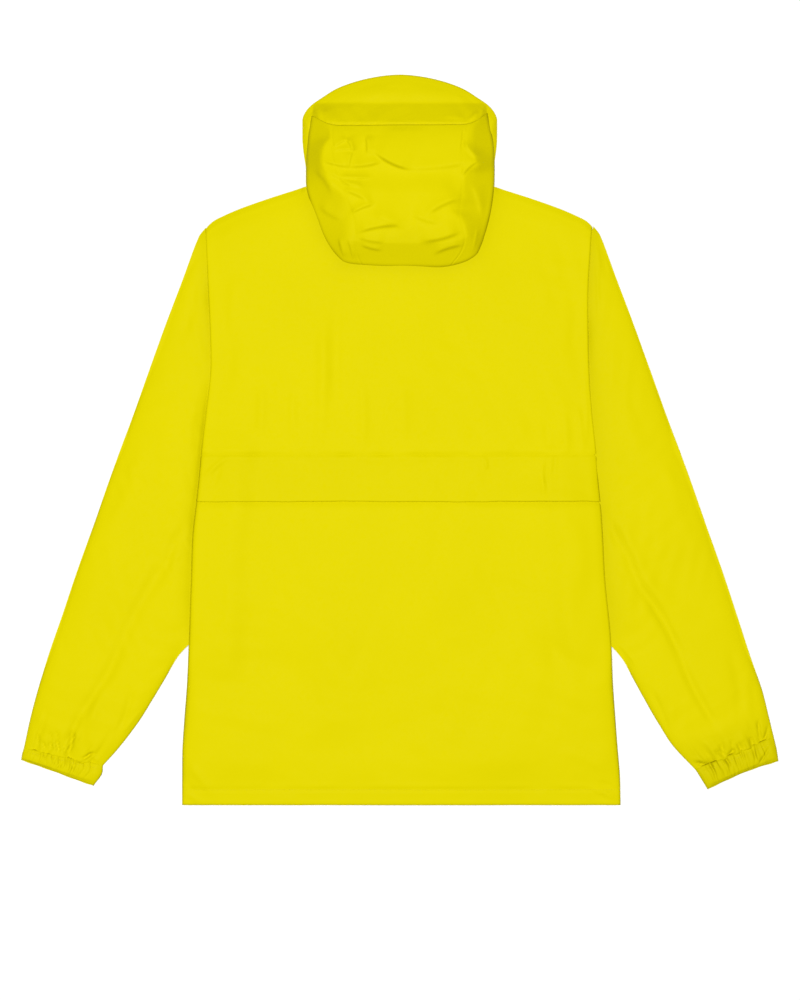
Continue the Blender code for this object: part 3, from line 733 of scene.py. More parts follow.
def nylon(name, colour, turn=0.0, shade=1.0):
    """Thin plain-weave nylon: a fine weave turned with the piece, soft crinkles, a low sheen. Its
    colour carries painted shade, from shade and from the painted-shade attribute.
    """
    made = Recipe(bpy.data.materials.new(name))
    place = made.add("ShaderNodeTexCoord", output="Object")
    turned = made.add("ShaderNodeVectorRotate", {"rotation_type": "Z_AXIS"},
                      {"Vector": place, "Angle": turn})
    across = made.add("ShaderNodeSeparateXYZ", None, {"Vector": turned}, output="X")
    down = across.output("Y")
    threads = 2.0 * math.pi / (THREAD_PITCH * MM)
    warp = made.add("ShaderNodeMath", {"operation": "SINE"}, {0: across * threads})
    weft = made.add("ShaderNodeMath", {"operation": "SINE"}, {0: down * threads})

    def noise(scale, detail, rough, distort=0.0):
        return made.add("ShaderNodeTexNoise", {"noise_dimensions": "3D"},
                        {"Vector": place, "Scale": scale, "Detail": detail,
                         "Roughness": rough, "Distortion": distort})

    crinkled = abs(noise(46.0, 2.0, 0.45, 0.6) - 0.5)
    fine = abs(noise(150.0, 3.0, 0.5, 0.4) - 0.5)
    height = warp * weft * 0.012 + (0.5 - crinkled) * 0.34 + (0.5 - fine) * 0.05
    bump = made.add("ShaderNodeBump", None, {"Strength": 0.6, "Distance": MM, "Height": height})

    # Tone that differs at random, darkened by the material's painted shade.
    dye_and_painted_shade = made.blend(noise(9.0, 3.0, 0.5),
                     tinted(colour, 0.98 * shade), tinted(colour, 1.02 * shade))
    # Painted shade: the attribute darkens the colour down to 0.42 of it where the cloth is steep.
    level = made.add("ShaderNodeAttribute", {"attribute_name": PAINTED_SHADE_ATTRIBUTE}, output="Fac")
    tone = made.blend(level, tinted(colour, 0.42 * shade), dye_and_painted_shade)
    return made.finish({"Base Color": tone, "Roughness": 0.46 + fine * 0.5, "Normal": bump,
                        "Specular IOR Level": 0.012})


def thread(colour):
    """Polyester sewing thread, a little deeper and glossier than the cloth."""
    made = Recipe(bpy.data.materials.new("thread"))
    place = made.add("ShaderNodeTexCoord", output="Object")
    ply = made.add("ShaderNodeTexNoise", None, {"Vector": place, "Scale": 900.0, "Detail": 2.0})
    tone = made.blend(ply, tinted(colour, 0.85), tinted(colour, 1.05))
    return made.finish({"Base Color": tone, "Roughness": 0.38, "Specular IOR Level": 0.2})


# ---------------------------------------------------------------- stitches
STITCH_PITCH, STITCH_LENGTH, STITCH_RADIUS = 3.2, 2.5, 0.2


def laid_on(cloth, xs, ys):
    """A path dropped from above onto a piece of cloth."""
    verts = [vertex.co for vertex in cloth.data.vertices]
    tree = BVHTree.FromPolygons(verts, [face.vertices for face in cloth.data.polygons])
    above, down = 0.2, Vector((0.0, 0.0, -1.0))
    path = []
    for x, y in zip(xs, ys):
        hit = tree.ray_cast(Vector((x * MM, y * MM, above)), down)[0]
        if hit is not None:
            path.append((x, y, hit.z / MM + 0.3 * STITCH_RADIUS))
    return path


def stitch_mesh(name, path):
    """Short stitches along a path, each a tapered bar with its ends in the cloth."""
    path = np.asarray(path, float)
    steps = np.linalg.norm(np.diff(path, axis=0), axis=1)
    walked = np.concatenate([[0.0], np.cumsum(steps)])
    verts, faces = [], []
    for number in range(int(walked[-1] / STITCH_PITCH)):
        start = number * STITCH_PITCH + 0.5 * (STITCH_PITCH - STITCH_LENGTH)
        marks = [start + share * STITCH_LENGTH for share in (0.0, 0.3, 0.7, 1.0)]
        line = np.stack([np.interp(marks, walked, path[:, k]) for k in range(3)], axis=1)
        run = line[3] - line[0]
        run /= np.linalg.norm(run)
        side = np.cross(run, (0.0, 0.0, 1.0))
        side /= np.linalg.norm(side)
        up = np.cross(side, run)
        base = len(verts)
        verts.append(line[0] - up * STITCH_RADIUS)
        for middle in (line[1], line[2]):
            for a, b in ((1, 0), (0, 1), (-1, 0), (0, -1)):
                verts.append(middle + side * a * STITCH_RADIUS + up * b * STITCH_RADIUS)
        verts.append(line[3] - up * STITCH_RADIUS)
        for k in range(4):
            m = (k + 1) % 4
            faces.append((base, base + 1 + m, base + 1 + k))
            faces.append((base + 1 + k, base + 1 + m, base + 5 + m, base + 5 + k))
            faces.append((base + 5 + k, base + 5 + m, base + 9))
    mesh = bpy.data.meshes.new(name)
    mesh.from_pydata([tuple(v * MM) for v in verts], [], faces)
    mesh.shade_smooth()
    return mesh


def stitch_hem(material):
    """The row that holds the hem's turned-up edge."""
    y = HEM_Y + HEM_DEPTH
    xs = np.linspace(edge_left(y) + 3.0, edge_right(y) - 3.0, 400)
    ys = np.full_like(xs, y) + 0.25 * lumps(xs, 0.0 * xs, 37.0, 47)
    path = laid_on(bpy.data.objects["back_lower_cloth"], xs, ys)
    add_piece("hem_stitches", stitch_mesh("hem_stitches", path), material)


def stitch_cuff(word, side, rows, material):
    """The row that holds the elastic in its casing."""
    share = np.linspace(0.05, 0.95, 120)
    x, y, _ = sleeve_plan(rows, np.array([0.2]), share)
    path = laid_on(bpy.data.objects["cuff_%s_cloth" % word], x[0] * side, y[0])
    name = "cuff_%s_stitches" % word
    add_piece(name, stitch_mesh(name, path), material)


# ---------------------------------------------------------------- body
def body_grid(columns, rows, low_y, top, inset=0.0):
    """Points over the body from low_y up to a level or, where top is a curve, to that edge."""
    share_x = np.linspace(0.0, 1.0, columns)[None, :]
    share_y = np.linspace(0.0, 1.0, rows)[:, None]
    head = edge_left(SHOULDER_Y) + (edge_right(SHOULDER_Y) - edge_left(SHOULDER_Y)) * share_x
    high_y = top(head) if callable(top) else top
    y = low_y + (high_y - low_y) * share_y + 0.0 * share_x
    left = edge_left(y) + inset
    right = edge_right(y) - inset
    return left + (right - left) * share_x, y


def back_surface(x, y, sizes):
    """The back with its creases, before any seam or hem."""
    room = side_room(x, y)
    z = back_height(x, y, sizes.body_loft / MM)
    z += BACK_CREASING * creases(BACK_CREASES, x, y) * ease(-2.0, 16.0, room)
    z += sizes.crinkle * 0.45 * facets(x, y, 46.0, 3) * ease(0.0, 20.0, room)
    return z


def add_front(sizes, cloth):
    """The plain front, which the garment lies on."""
    x, y = body_grid(80, 100, HEM_Y + 0.4, front_top, inset=1.0)
    armhole = ease(BAND_Y - 6.0, BAND_Y + 20.0, y)
    x = x - np.sign(x) * 5.0 * armhole * ease(150.0, 230.0, np.abs(x))
    z = FLOOR_GAP + tuck_lift(x, y)
    mesh = lattice("front_body_cloth", stack(x, y, z))
    piece = add_piece("front_body_cloth", mesh, cloth, ["front_body"], sizes.cloth / MM,
                      offset=1.0)


def seam_dip(x):
    """The depth of the seam at the top of the flap, puckered here and there."""
    level = np.full_like(x, BAND_Y)
    slow = np.maximum(lumps(x, level, 22.0, 21), -0.5)
    return 0.64 + 0.50 * slow + 0.15 * lumps(x, level, 4.5, 22)


def add_back_upper(sizes, cloth):
    """The upper back: sewn under the flap, and turned down along the shoulders."""
    x, y = body_grid(200, 136, BAND_Y, back_top)
    z = back_surface(x, y, sizes)
    from_seam = y - BAND_Y
    z -= seam_dip(x) * ridge(from_seam, 2.0)
    z += 0.25 * ridge(from_seam - 6.0, 3.0) * (1.0 + 0.9 * lumps(x, y, 14.0, 23))
    z += armhole_roll(x, y)
    shoulder = back_top(x) - y
    z += 0.3 * ridge(shoulder - 7.0, 3.0) * ease(118.0, 130.0, np.abs(x))
    points = stack(x, y, z)
    under_flap = points[:1] - np.array([0.0, 1.2, 0.2])
    edge = points[-1].copy()
    points[-1, :, 1] -= 0.15
    turned_down = []
    for drop in (0.0, 0.25, 0.7, 1.0):
        row = edge.copy()
        row[:, 2] -= drop * (edge[:, 2] - 1.2)
        turned_down.append(row)
    points = np.concatenate([under_flap, points, np.stack(turned_down)])
    # Painted shadow of the folded hood on the back around it.
    shade = 1.0 - 0.13 * hood_shade(x, y)
    shade = np.concatenate([shade[:1], shade, np.repeat(shade[-1:], len(turned_down), axis=0)])
    mesh = lattice("back_upper_cloth", points, shade=shade)
    piece = add_piece("back_upper_cloth", mesh, cloth, ["back_upper"], sizes.cloth / MM)


def armhole_roll(x, y):
    """The body's edge turns down into the armhole seam, and its allowance shows as a ridge."""
    room = side_room(x, y)
    allowance = 0.18 * ridge(room - 6.0, 3.0) * (1.0 + 0.5 * lumps(x, y, 17.0, 31))
    roll = -ARMHOLE_ROLL * sink(x, y) * ridge(room, 1.1)
    puckers = 0.16 * lumps(x * 0.4, y, 5.0, 33) * ridge(room, 9.0)
    return (allowance + roll + puckers) * ease(BAND_Y - 10.0, BAND_Y + 24.0, y)


def add_back_lower(sizes, cloth):
    """The lower back: it dips under the flap, and ends in the turned-up hem."""
    x, y = body_grid(176, 160, HEM_Y, BAND_Y - 0.4)
    z = back_surface(x, y, sizes)
    z -= 2.2 * ease(FLAP_Y - 10.0, FLAP_Y + 6.0, y)
    from_hem = y - HEM_Y
    uneven = 1.0 + 0.5 * lumps(x, y, 23.0, 41)
    z += 0.5 * ease(HEM_DEPTH + 1.9, HEM_DEPTH - 1.6, from_hem) * ease(0.0, 2.0, from_hem)
    z -= 0.6 * ridge(from_hem - HEM_DEPTH, 1.3) * uneven
    z += 0.3 * ridge(from_hem - HEM_DEPTH - 4.9, 3.5) * uneven
    z += 0.5 * lumps(x, y * 0.2, 46.0, 43) * ease(60.0, 0.0, from_hem)
    z += 0.16 * lumps(x, y * 0.3, 7.0, 44) * ease(24.0, 12.0, from_hem)
    mesh = lattice("back_lower_cloth", stack(x, y, z))
    piece = add_piece("back_lower_cloth", mesh, cloth, ["back_lower"], sizes.cloth / MM)


def flap_height(x, y, sizes):
    """The flap's top: sewn down along its upper edge, and standing off along its lower one."""
    z = back_surface(x, y, sizes)
    from_seam = BAND_Y - y
    depth = BAND_Y - FLAP_Y
    z -= seam_dip(x) * ridge(from_seam, 1.6)
    z += 0.2 * ridge(from_seam - 5.0, 3.0) * (1.0 + 0.9 * lumps(x, y, 14.0, 53))
    loosest = ease(92.0, 135.0, x) * ease(244.0, 205.0, x)
    loose = 0.55 + 0.45 * lumps(x, 0.0 * y, 52.0, 54) + 0.9 * loosest
    z += loose * ease(0.25 * depth, depth, from_seam)
    z += creases(FLAP_CREASES, x, y)
    return z


def add_flap(sizes, cloth):
    """The band over the seam, with its lower edge folded under."""
    x, y = body_grid(230, 40, FLAP_Y, BAND_Y)
    z = flap_height(x, y, sizes) - 0.4 * ridge(side_room(x, y), 1.2)
    droop = 0.45 * lumps(x, 0.0 * y, 44.0, 55) + 0.3 * lumps(x, 0.0 * y, 17.0, 56)
    y = y + droop * ease(14.0, 0.0, y - FLAP_Y)
    under = []
    for back, drop in ((2.5, 1.35), (1.0, 1.15), (0.15, 0.75), (-0.2, 0.35)):
        under.append(stack(x[0], y[0] + back, z[0] - drop))
    points = np.concatenate([np.stack(under), stack(x, y, z)])
    # Painted shade: the flap is darkened a little all over.
    shade = np.full(points.shape[:2], 0.975)
    mesh = lattice("back_flap_cloth", points, shade=shade, crisp_end=True)
    piece = add_piece("back_flap_cloth", mesh, cloth, ["back_flap"], FLAP_WALL)


# ---------------------------------------------------------------- sleeves and cuffs
SLEEVE_LOFT = 7.6                               # a sleeve's height where its table says 7.6
SLEEVE_FOLD_Z, CUFF_FOLD_Z = 1.7, 1.9           # how high their two folded edges lie
CUFF_WIDTH = 93.0                               # a gathered cuff's width as it lies


def fold_shares(count, evenness):
    """Shares of a laid tube's width, close together at its two folds; evenness spreads them."""
    turn = np.linspace(0.0, math.pi, count)
    bunched, even = np.cos(turn), 1.0 - 2.0 * turn / math.pi
    return 0.5 - 0.5 * ((1.0 - evenness) * bunched + evenness * even)


def sleeve_plan(rows, along, across, armhole=None):
    """Where a sleeve's points lie: sections bent round the underarm, the first on the armhole."""
    at = {}
    for column in SleeveRow._fields[1:]:
        at[column] = through(rows, "along", column)(along)[:, None]
    t = across[None, :]
    near, bend, far = (1.0 - t) ** 2, 2.0 * t * (1.0 - t), t * t
    x = near * at["out_x"] + bend * at["mid_x"] + far * at["in_x"]
    y = near * at["out_y"] + bend * at["mid_y"] + far * at["in_y"]
    if armhole:
        hold = ease(0.11, 0.0, along)[:, None]
        seam_x, seam_y = armhole(across)
        x = x + hold * (seam_x[None, :] - x[0])
        y = y + hold * (seam_y[None, :] - y[0])
    return x, y, at["loft"]


def armhole_seam(side):
    """Where a sleeve is sewn on, as a function of the share down its armhole."""
    edge = body_edge(side)
    head_out, head_y = (1.7, 256.4) if side > 0 else (0.0, 254.6)

    def seam(share):
        y = head_y + (BAND_Y - 1.0 - head_y) * share
        head = head_out * ease(0.04, 0.0, share)
        return edge(y) - 0.4 + head - 3.1 * ease(0.0, 0.06, share), y

    return seam


def tube_points(x, y, top_z, bottom_z):
    """Join a tube's top and its bottom into closed sections."""
    top = stack(x, y, top_z)
    bottom = stack(x, y, bottom_z)[:, ::-1]
    return np.concatenate([top, bottom[:, 1:-1]], axis=1)


def tube_underside(x, across, fold_z):
    """A laid tube's underside, flat on the surface and rounded up to its folds."""
    from_middle = 2.0 * across[None, :] - 1.0
    return fold_z - (fold_z - FLOOR_GAP) * (1.0 - from_middle ** 8) ** 0.5 + 0.0 * x


def rise_from_body(side, x, y, beyond, depth, free_z, sizes):
    """A sleeve's top as it comes out of its armhole and out from under the body's side."""
    below_arm = ease(UNDERARM[1], UNDERARM[0], y)
    loose = depth * (1.0 + 0.35 * lumps(0.3 * x, y, 21.0, 66 + side))
    under_x = side * (body_edge(side)(y) - 0.6)
    seam_z = back_height(under_x, y, sizes.body_loft / MM) - 0.3 - 2.3 * loose
    open_out = slope_off(beyond, 19.0 + 7.0 * below_arm)
    rising = seam_z + np.maximum(free_z - seam_z, -1.5) * open_out
    top_z = np.where(beyond > 0.0, rising, seam_z)
    top_z = np.minimum(top_z, np.maximum(free_z, seam_z))
    top_z -= 0.9 * loose * ridge(beyond, 3.0)
    return top_z - 1.4 * ease(-1.0, -8.0, beyond)


def sleeve_painted_shade(side, along, y, beyond, depth):
    """Painted shade on a sleeve's top: how much it is darkened beside the body and above its
    cuff.
    """
    outward = np.maximum(beyond, 0.0)
    broad = 0.13 if side > 0 else 0.08 * ease(40.0, 170.0, y)
    beside_body = 0.16 * depth * np.exp(-outward / 5.0) + broad * np.exp(-outward / 14.0)
    near_cuff = (0.12 if side > 0 else 0.02) * ease(0.95, 1.0, along)[:, None]
    return beside_body * ease(-3.0, 0.0, beyond) * ease(-262.0, -215.0, y) + near_cuff


def add_sleeve(word, side, rows, crease_rows, sizes, cloth):
    """One sleeve, sewn at the armhole and tucked under the body's side below it."""
    along = np.concatenate([np.linspace(0.0, 0.87, 166, endpoint=False),
                            np.linspace(0.87, 1.0, 70)])
    across = fold_shares(69, 0.0)
    x, y, loft = sleeve_plan(rows, along, across, armhole_seam(side))
    loft = loft * sizes.sleeve_loft / (SLEEVE_LOFT * MM)
    uneven = 1.0 + 0.10 * lumps(x, y, 60.0, 61 + side) + 0.05 * lumps(x, y, 26.0, 63 + side)
    crown = (1.0 - (2.0 * across[None, :] - 1.0) ** 4) ** 0.5
    free_z = SLEEVE_FOLD_Z + (loft - SLEEVE_FOLD_Z + 1.0) * crown * uneven

    beyond = x - body_edge(side)(y)
    depth = sink(x * side, y)
    top_z = rise_from_body(side, x, y, beyond, depth, free_z, sizes)
    end_fade = ease(0.0, 0.12, 0.5 - np.abs(across - 0.5))[None, :]
    away = ease(0.0, 14.0, beyond)
    top_z += creases(crease_rows, x * side, y) * end_fade * away
    top_z += sizes.crinkle * 0.45 * facets(x, y, 34.0, 64 + side) * end_fade * away
    gathers = ease(0.86, 1.0, along)[:, None]
    top_z += gathers * end_fade * gather_folds(along, across, x, y, side)
    top_z = np.maximum(top_z, SLEEVE_FOLD_Z - 1.0)

    points = tube_points(x, y, top_z, tube_underside(x, across, SLEEVE_FOLD_Z))
    tucked = 2.0 * points[-1] - points[-2]
    tucked[:, 2] = points[-1, :, 2] + 0.5 * (SLEEVE_FOLD_Z - points[-1, :, 2])
    points = np.concatenate([points, tucked[None]])
    points[..., 0] *= side
    # Painted shade on the sleeve's top beside the body and above the cuff; none on its underside.
    painted_darkening = sleeve_painted_shade(side, along, y, beyond, depth)
    painted_darkening = np.concatenate([painted_darkening, 0.0 * painted_darkening[:, 1:-1]], axis=1)
    shade = 1.0 - np.concatenate([painted_darkening, painted_darkening[-1:]])
    name = "sleeve_%s_cloth" % word
    mesh = lattice(name, points, around=True, flipped=side < 0, shade=shade)
    piece = add_piece(name, mesh, cloth, ["sleeve_" + word], sizes.cloth / MM)
    piece.modifiers["wall"].use_rim = False


def gather_folds(along, across, x, y, side):
    """Short folds that the gathered cuff sends up the sleeve, each of its own length."""
    t = across[None, :]
    from_end = along[:, None] - 1.0
    wander = (t + 0.02 * lumps(x, y, 24.0, 71 + side)) * CUFF_WIDTH
    middle = ease(0.02, 0.16, t) * ease(0.98, 0.8, t)
    folds = 0.0
    for size, depth, reach_up, seed in ((6.5, 1.5, 0.06, 72), (3.4, 1.0, 0.035, 73)):
        length = reach_up * (1.0 + 0.8 * lumps(t * CUFF_WIDTH, 0.0 * t, 7.0, seed + 5 + side))
        fade = ease(0.0, 1.0, (from_end + length) / length)
        valleys = np.minimum(lumps(wander, 0.0 * y + seed, size, seed + side), 0.25)
        folds = folds + depth * valleys * fade
    return (folds + 0.2) * middle * (2.0 if side > 0 else 1.3)


def cuff_top(side, s, t, x, y, loft, crease_rows):
    """A cuff's gathered top, from the shares s down it and t across it."""
    crown = (1.0 - (2.0 * t - 1.0) ** 6) ** 0.5
    t = t + 0.010 * lumps(t * CUFF_WIDTH, 16.0 * s, 6.0, 81 + side)
    wander = t * CUFF_WIDTH
    middle = ease(0.06, 0.22, t) * ease(0.95, 0.74, t)
    streaks = 0.9 * lumps(wander, 2.2 * s, 3.2, 82 + side)
    streaks = streaks + 0.5 * lumps(wander, 3.0 * s, 1.7, 83 + side)
    streaks = streaks * (0.2 + 0.8 * middle) * (2.0 if side > 0 else 1.5)
    seam = -0.14 * ridge(s, 0.1) * (1.0 + lumps(wander, 0.0 * s, 9.0, 84 + side))
    end = 1.0 - 0.4 * ease(0.8, 1.0, s) ** 1.5
    top_z = CUFF_FOLD_Z + (loft + 0.9 - CUFF_FOLD_Z) * crown * end
    top_z = top_z + (streaks * (1.0 - 0.4 * s) + seam) * crown
    return top_z + creases(crease_rows, x * side, y) * crown * (0.6 if side > 0 else 0.9)


def add_cuff(word, side, rows, crease_rows, cloth):
    """An elastic casing: gathered along its top, rounded, and open at its end."""
    along = np.linspace(0.0, 1.0, 24)
    across = fold_shares(150, 0.4)
    x, y, loft = sleeve_plan(rows, along, across)
    top_z = cuff_top(side, along[:, None], across[None, :], x, y, loft, crease_rows)
    points = tube_points(x, y, top_z, tube_underside(x, across, CUFF_FOLD_Z))
    run = points[-1, :, :2] - points[0, :, :2]
    run /= np.linalg.norm(run, axis=1)[:, None]
    number = np.arange(points.shape[1])
    longer = 0.2 * np.sin(number * 0.19) + 0.2 * np.sin(number * 0.07 + 1.0)
    longer += np.where(number >= len(across), 1.5, 0.0)
    stretch = run * longer[:, None]
    points[..., :2] += stretch[None] * ease(0.5, 1.0, along)[:, None, None]
    points[0, :, :2] -= 0.9 * run
    tucked = points[0].copy()
    tucked[:, :2] -= 1.4 * run
    tucked[:, 2] += 0.5 * (CUFF_FOLD_Z - tucked[:, 2])
    points = np.concatenate([tucked[None], points])
    points[..., 0] *= side
    name = "cuff_%s_cloth" % word
    # Painted shade: the right cuff is darkened strongly, the left one a little.
    shade = np.full(points.shape[:2], 0.81 if side > 0 else 0.97)
    mesh = lattice(name, points, around=True, flipped=side < 0, shade=shade)
    piece = add_piece(name, mesh, cloth, ["cuff_" + word], CASING_WALL)


# ---------------------------------------------------------------- hood
BRIM_Y, STRIP_FOOT = 376.0, 404.5               # its free edge, and the foot of the slope beyond
ON_BODY, OFF_BODY = 8.4, 5.4                    # how high its own foot lies on and off the back
BACK_ENDS_Y = 309.0                             # beyond here no back lies under it
MITRE_SHARPNESS = 16.0                          # of the corners where its slopes meet
HOOD_ROWS = 150
ARCH_FOOT_Y, ARCH_ROUNDNESS = 383.7, 1.75       # the throat's free edge
THROAT_FOOT_HALF = 110.5                        # half the throat's width at the neckline


def hood_plan(across, down):
    """A point of the folded hood from its shares across and down, inside its four edges."""
    brim, fold = hood_brim(across), hood_fold(across)
    left, right = hood_left(down), hood_right(down)
    place = []
    for k in (0, 1):
        top = (1 - across) * HOOD_LEFT[0][k] + across * HOOD_RIGHT[0][k]
        bottom = (1 - across) * HOOD_LEFT[-1][k] + across * HOOD_RIGHT[-1][k]
        between_ends = (1 - down) * (brim[k] - top) + down * (fold[k] - bottom)
        place.append(between_ends + (1 - across) * left[k] + across * right[k])
    return place


def ramp(distance, width):
    """A slope that leaves the edge at once and turns softly flat at width."""
    share = np.clip(distance / width, 0.0, 1.2)
    turn = 0.10
    over = np.clip((share - 1.0 + turn) / (2.0 * turn), 0.0, 1.0)
    return np.where(share < 1.0 - turn, share, 1.0 - turn * (1.0 - over) ** 2)


def climb(distance, steep, gentle):
    """A climb in two parts: a steep straight one, then a gentle one that levels out."""
    return 0.68 * np.clip(distance / steep, 0.0, 1.0) + 0.32 * slope_off(distance - steep, gentle)


def pillow_edges(y):
    """The pillow's foot and the edges of its flat top, at a level."""
    return {column: curve(y) for column, curve in pillow_curves.items()}


def pillow(x, y):
    """The pillow's height, from 0 at its foot to 1 on its flat top, with mitred corners."""
    edge = pillow_edges(y)
    left = ramp(x - edge["foot_left"], edge["top_left"] - edge["foot_left"])
    right = ramp(edge["foot_right"] - x, edge["foot_right"] - edge["top_right"])
    fold = climb(y - fold_edge(x), 27.0, 52.0)
    strip = climb(STRIP_FOOT - y, STRIP_FOOT - BRIM_Y, 48.0)
    total = sum(np.exp(-MITRE_SHARPNESS * side) for side in (left, right, fold, strip))
    return np.maximum(-np.log(total) / MITRE_SHARPNESS, -0.04)


def pillow_bed(y):
    """How high the pillow's foot lies: on the body, or beyond the neck nearer the surface."""
    return OFF_BODY + (ON_BODY - OFF_BODY) * ease(322.0, 292.0, y)


def hood_height(x, y, sizes):
    """The hood's outer layer: a pillow with its creases."""
    edge = pillow_edges(y)
    inside = np.minimum(x - edge["foot_left"], edge["foot_right"] - x)
    inside = np.minimum(inside, y - fold_edge(x))
    z = pillow_bed(y) + sizes.hood_loft / MM * pillow(x, y) + 1.7 * bulge(inside, 4.0)
    edges = ease(2.0, 16.0, inside) * ease(BRIM_Y + 1.0, BRIM_Y - 9.0, y)
    z += HOOD_CREASING * creases(HOOD_CREASES, x, y) * edges
    crumpled = ease(-6.0, -46.0, x) + ease(284.0, 250.0, y) + ease(60.0, 84.0, x)
    flat = ease(0.6, 1.0, pillow(x, y))
    z += 0.8 * sizes.crinkle * edges * flat * np.clip(crumpled, 0.2, 1.0) * facets(x, y, 42.0, 91)
    z += (0.25 + 0.45 * flat) * lumps(x, y, 34.0, 92) * edges
    return z


def hood_painted_shade(x, y):
    """Painted shade: the folded hood's slopes are darkened a little against its flat top."""
    return 1.0 - 0.10 * (1.0 - ease(0.55, 0.98, pillow(x, y)))


def add_hood_panel(node, low, high, columns, outer, sizes, cloth):
    """One panel of the hood between two borders, in shares of its width.

    outer is -1 where the left border is the hood's own edge, 1 where the right one is, else 0.
    Such an edge is turned under, and every other border is a seam.
    """
    down = np.linspace(0.0, 1.0, HOOD_ROWS)[:, None]
    across = low + (high - low) * np.linspace(0.0, 1.0, columns)[None, :]
    x, y = hood_plan(across, down)
    z = hood_height(x, y, sizes)
    if outer >= 0:
        z -= seam_groove(across - low, down)
    if outer <= 0:
        z -= seam_groove(high - across, down)
    points = stack(x, y, z)
    brim = turned_under(points[0], (0.0, -1.0))[::-1]
    points = np.concatenate([brim, points, turned_under(points[-1], (0.0, 1.0))])
    if outer < 0:
        rim = turned_under(points[:, 0], (1.0, 0.0))[::-1]
        points = np.concatenate([np.swapaxes(rim, 0, 1), points], axis=1)
    if outer > 0:
        rim = turned_under(points[:, -1], (-1.0, 0.0))
        points = np.concatenate([points, np.swapaxes(rim, 0, 1)], axis=1)
    points[..., 2] = np.maximum(points[..., 2], 2.0 * FLOOR_GAP)
    name = node + "_cloth"
    # Painted shade on the hood's slopes.
    shade = hood_painted_shade(points[..., 0], points[..., 1])
    mesh = lattice(name, points, flipped=True, shade=shade)
    piece = add_piece(name, mesh, cloth, [node], sizes.cloth / MM)
    piece.modifiers["wall"].use_rim = False


def seam_groove(share, down):
    """The dip beside a seam, in shares of the hood's width; it fades where the cloth crumples."""
    width = share * 200.0
    depth = 0.30 - 0.20 * ease(0.2, 0.4, down) * ease(0.9, 0.7, down)
    return depth * (ridge(width, 1.3) - 0.5 * ridge(width - 3.0, 1.8))


def turned_under(edge, inward):
    """Rows of points that carry an edge round and under, towards the inside."""
    rows = []
    for back, drop in ((-0.5, 0.7), (-0.2, 1.6), (1.0, 2.4), (3.2, 2.7)):
        rows.append(edge + np.array([inward[0] * back, inward[1] * back, -drop]))
    return np.stack(rows)


def add_hood_outside(sizes, crown_cloth, side_cloth):
    """The folded hood's three panels, cut by its two seams."""
    down = np.linspace(0.0, 1.0, HOOD_ROWS)[:, None]
    left_seam = through(HOOD_SEAMS, "down", "left")(down)
    right_seam = through(HOOD_SEAMS, "down", "right")(down)
    add_hood_panel("hood_crown", left_seam, right_seam, 120, 0,
                   sizes, crown_cloth)
    add_hood_panel("hood_side_left", 0.0 * down, left_seam, 40, -1,
                   sizes, side_cloth)
    add_hood_panel("hood_side_right", right_seam, 0.0 * down + 1.0, 40, 1,
                   sizes, side_cloth)


def dome_y(x):
    """The arch of the throat part's free edge, a little flatter near its two ends."""
    share = np.clip(np.abs(x) / HOOD_HALF, 0.0, 1.0)
    rise = (1.0 - share ** ARCH_ROUNDNESS) ** (1.0 / ARCH_ROUNDNESS)
    return ARCH_FOOT_Y + (DOME_Y - ARCH_FOOT_Y) * rise - 1.6 * ridge(np.abs(x) - 94.0, 12.0)


def add_throat(sizes, cloth):
    """The hood's throat part: its inside shows as an arch behind the folded hood."""
    columns, rows = 150, 110
    u = np.sin(np.linspace(-0.5, 0.5, columns) * math.pi)[None, :]
    v = np.linspace(0.0, 1.0, rows)[:, None]
    foot_x = u * THROAT_FOOT_HALF
    foot_y = front_top(foot_x) + 1.0
    head_x = u * HOOD_HALF
    x = foot_x + (head_x - foot_x) * ease(0.0, 0.75, v)
    y = foot_y + (dome_y(head_x) - foot_y) * v
    rim = dome_y(x) - y
    side = HOOD_HALF * (1.0 - np.abs(u)) + 0.0 * v
    z = FLOOR_GAP + 0.8 + 3.5 * np.minimum(slope_off(rim, 34.0), slope_off(side, 10.0))
    z += 2.6 * ease(0.0, 42.0, rim) * ease(STRIP_FOOT - 2.0, STRIP_FOOT + 16.0, y)
    under = ease(BRIM_Y - 15.0, BRIM_Y - 3.0, y)
    share = np.maximum(pillow(x, y), 0.0)
    corner = 1.0 - ease(-100.0, -78.0, x) * ease(104.0, 84.0, x)
    z += (sizes.hood_loft / MM * share + 0.3 + 1.4 * corner * ease(0.0, 0.3, share)) * under
    z -= 2.4 * ridge(y - BRIM_Y - 0.6, 1.3) * (1.0 - corner) * under
    z += creases(THROAT_CREASES, x, y)
    z += sizes.crinkle * 0.5 * facets(x, y, 30.0, 95) * ease(0.0, 14.0, np.minimum(rim, side))
    z -= 0.15 * ridge(rim - 9.0, 1.2) * ease(372.0, 384.0, y)
    mesh = lattice("hood_throat_cloth", stack(x, y, z))
    piece = add_piece("hood_throat_cloth", mesh, cloth, ["hood_throat"], sizes.cloth / MM)


def hood_outline(count):
    """Points round the folded hood, count on each side: brim, right side, fold, left side."""
    share = np.linspace(0.0, 1.0, count, endpoint=False)
    sides = [hood_brim(share), hood_right(share), hood_fold(1.0 - share), hood_left(1.0 - share)]
    return np.concatenate([np.stack(side, axis=1) for side in sides])


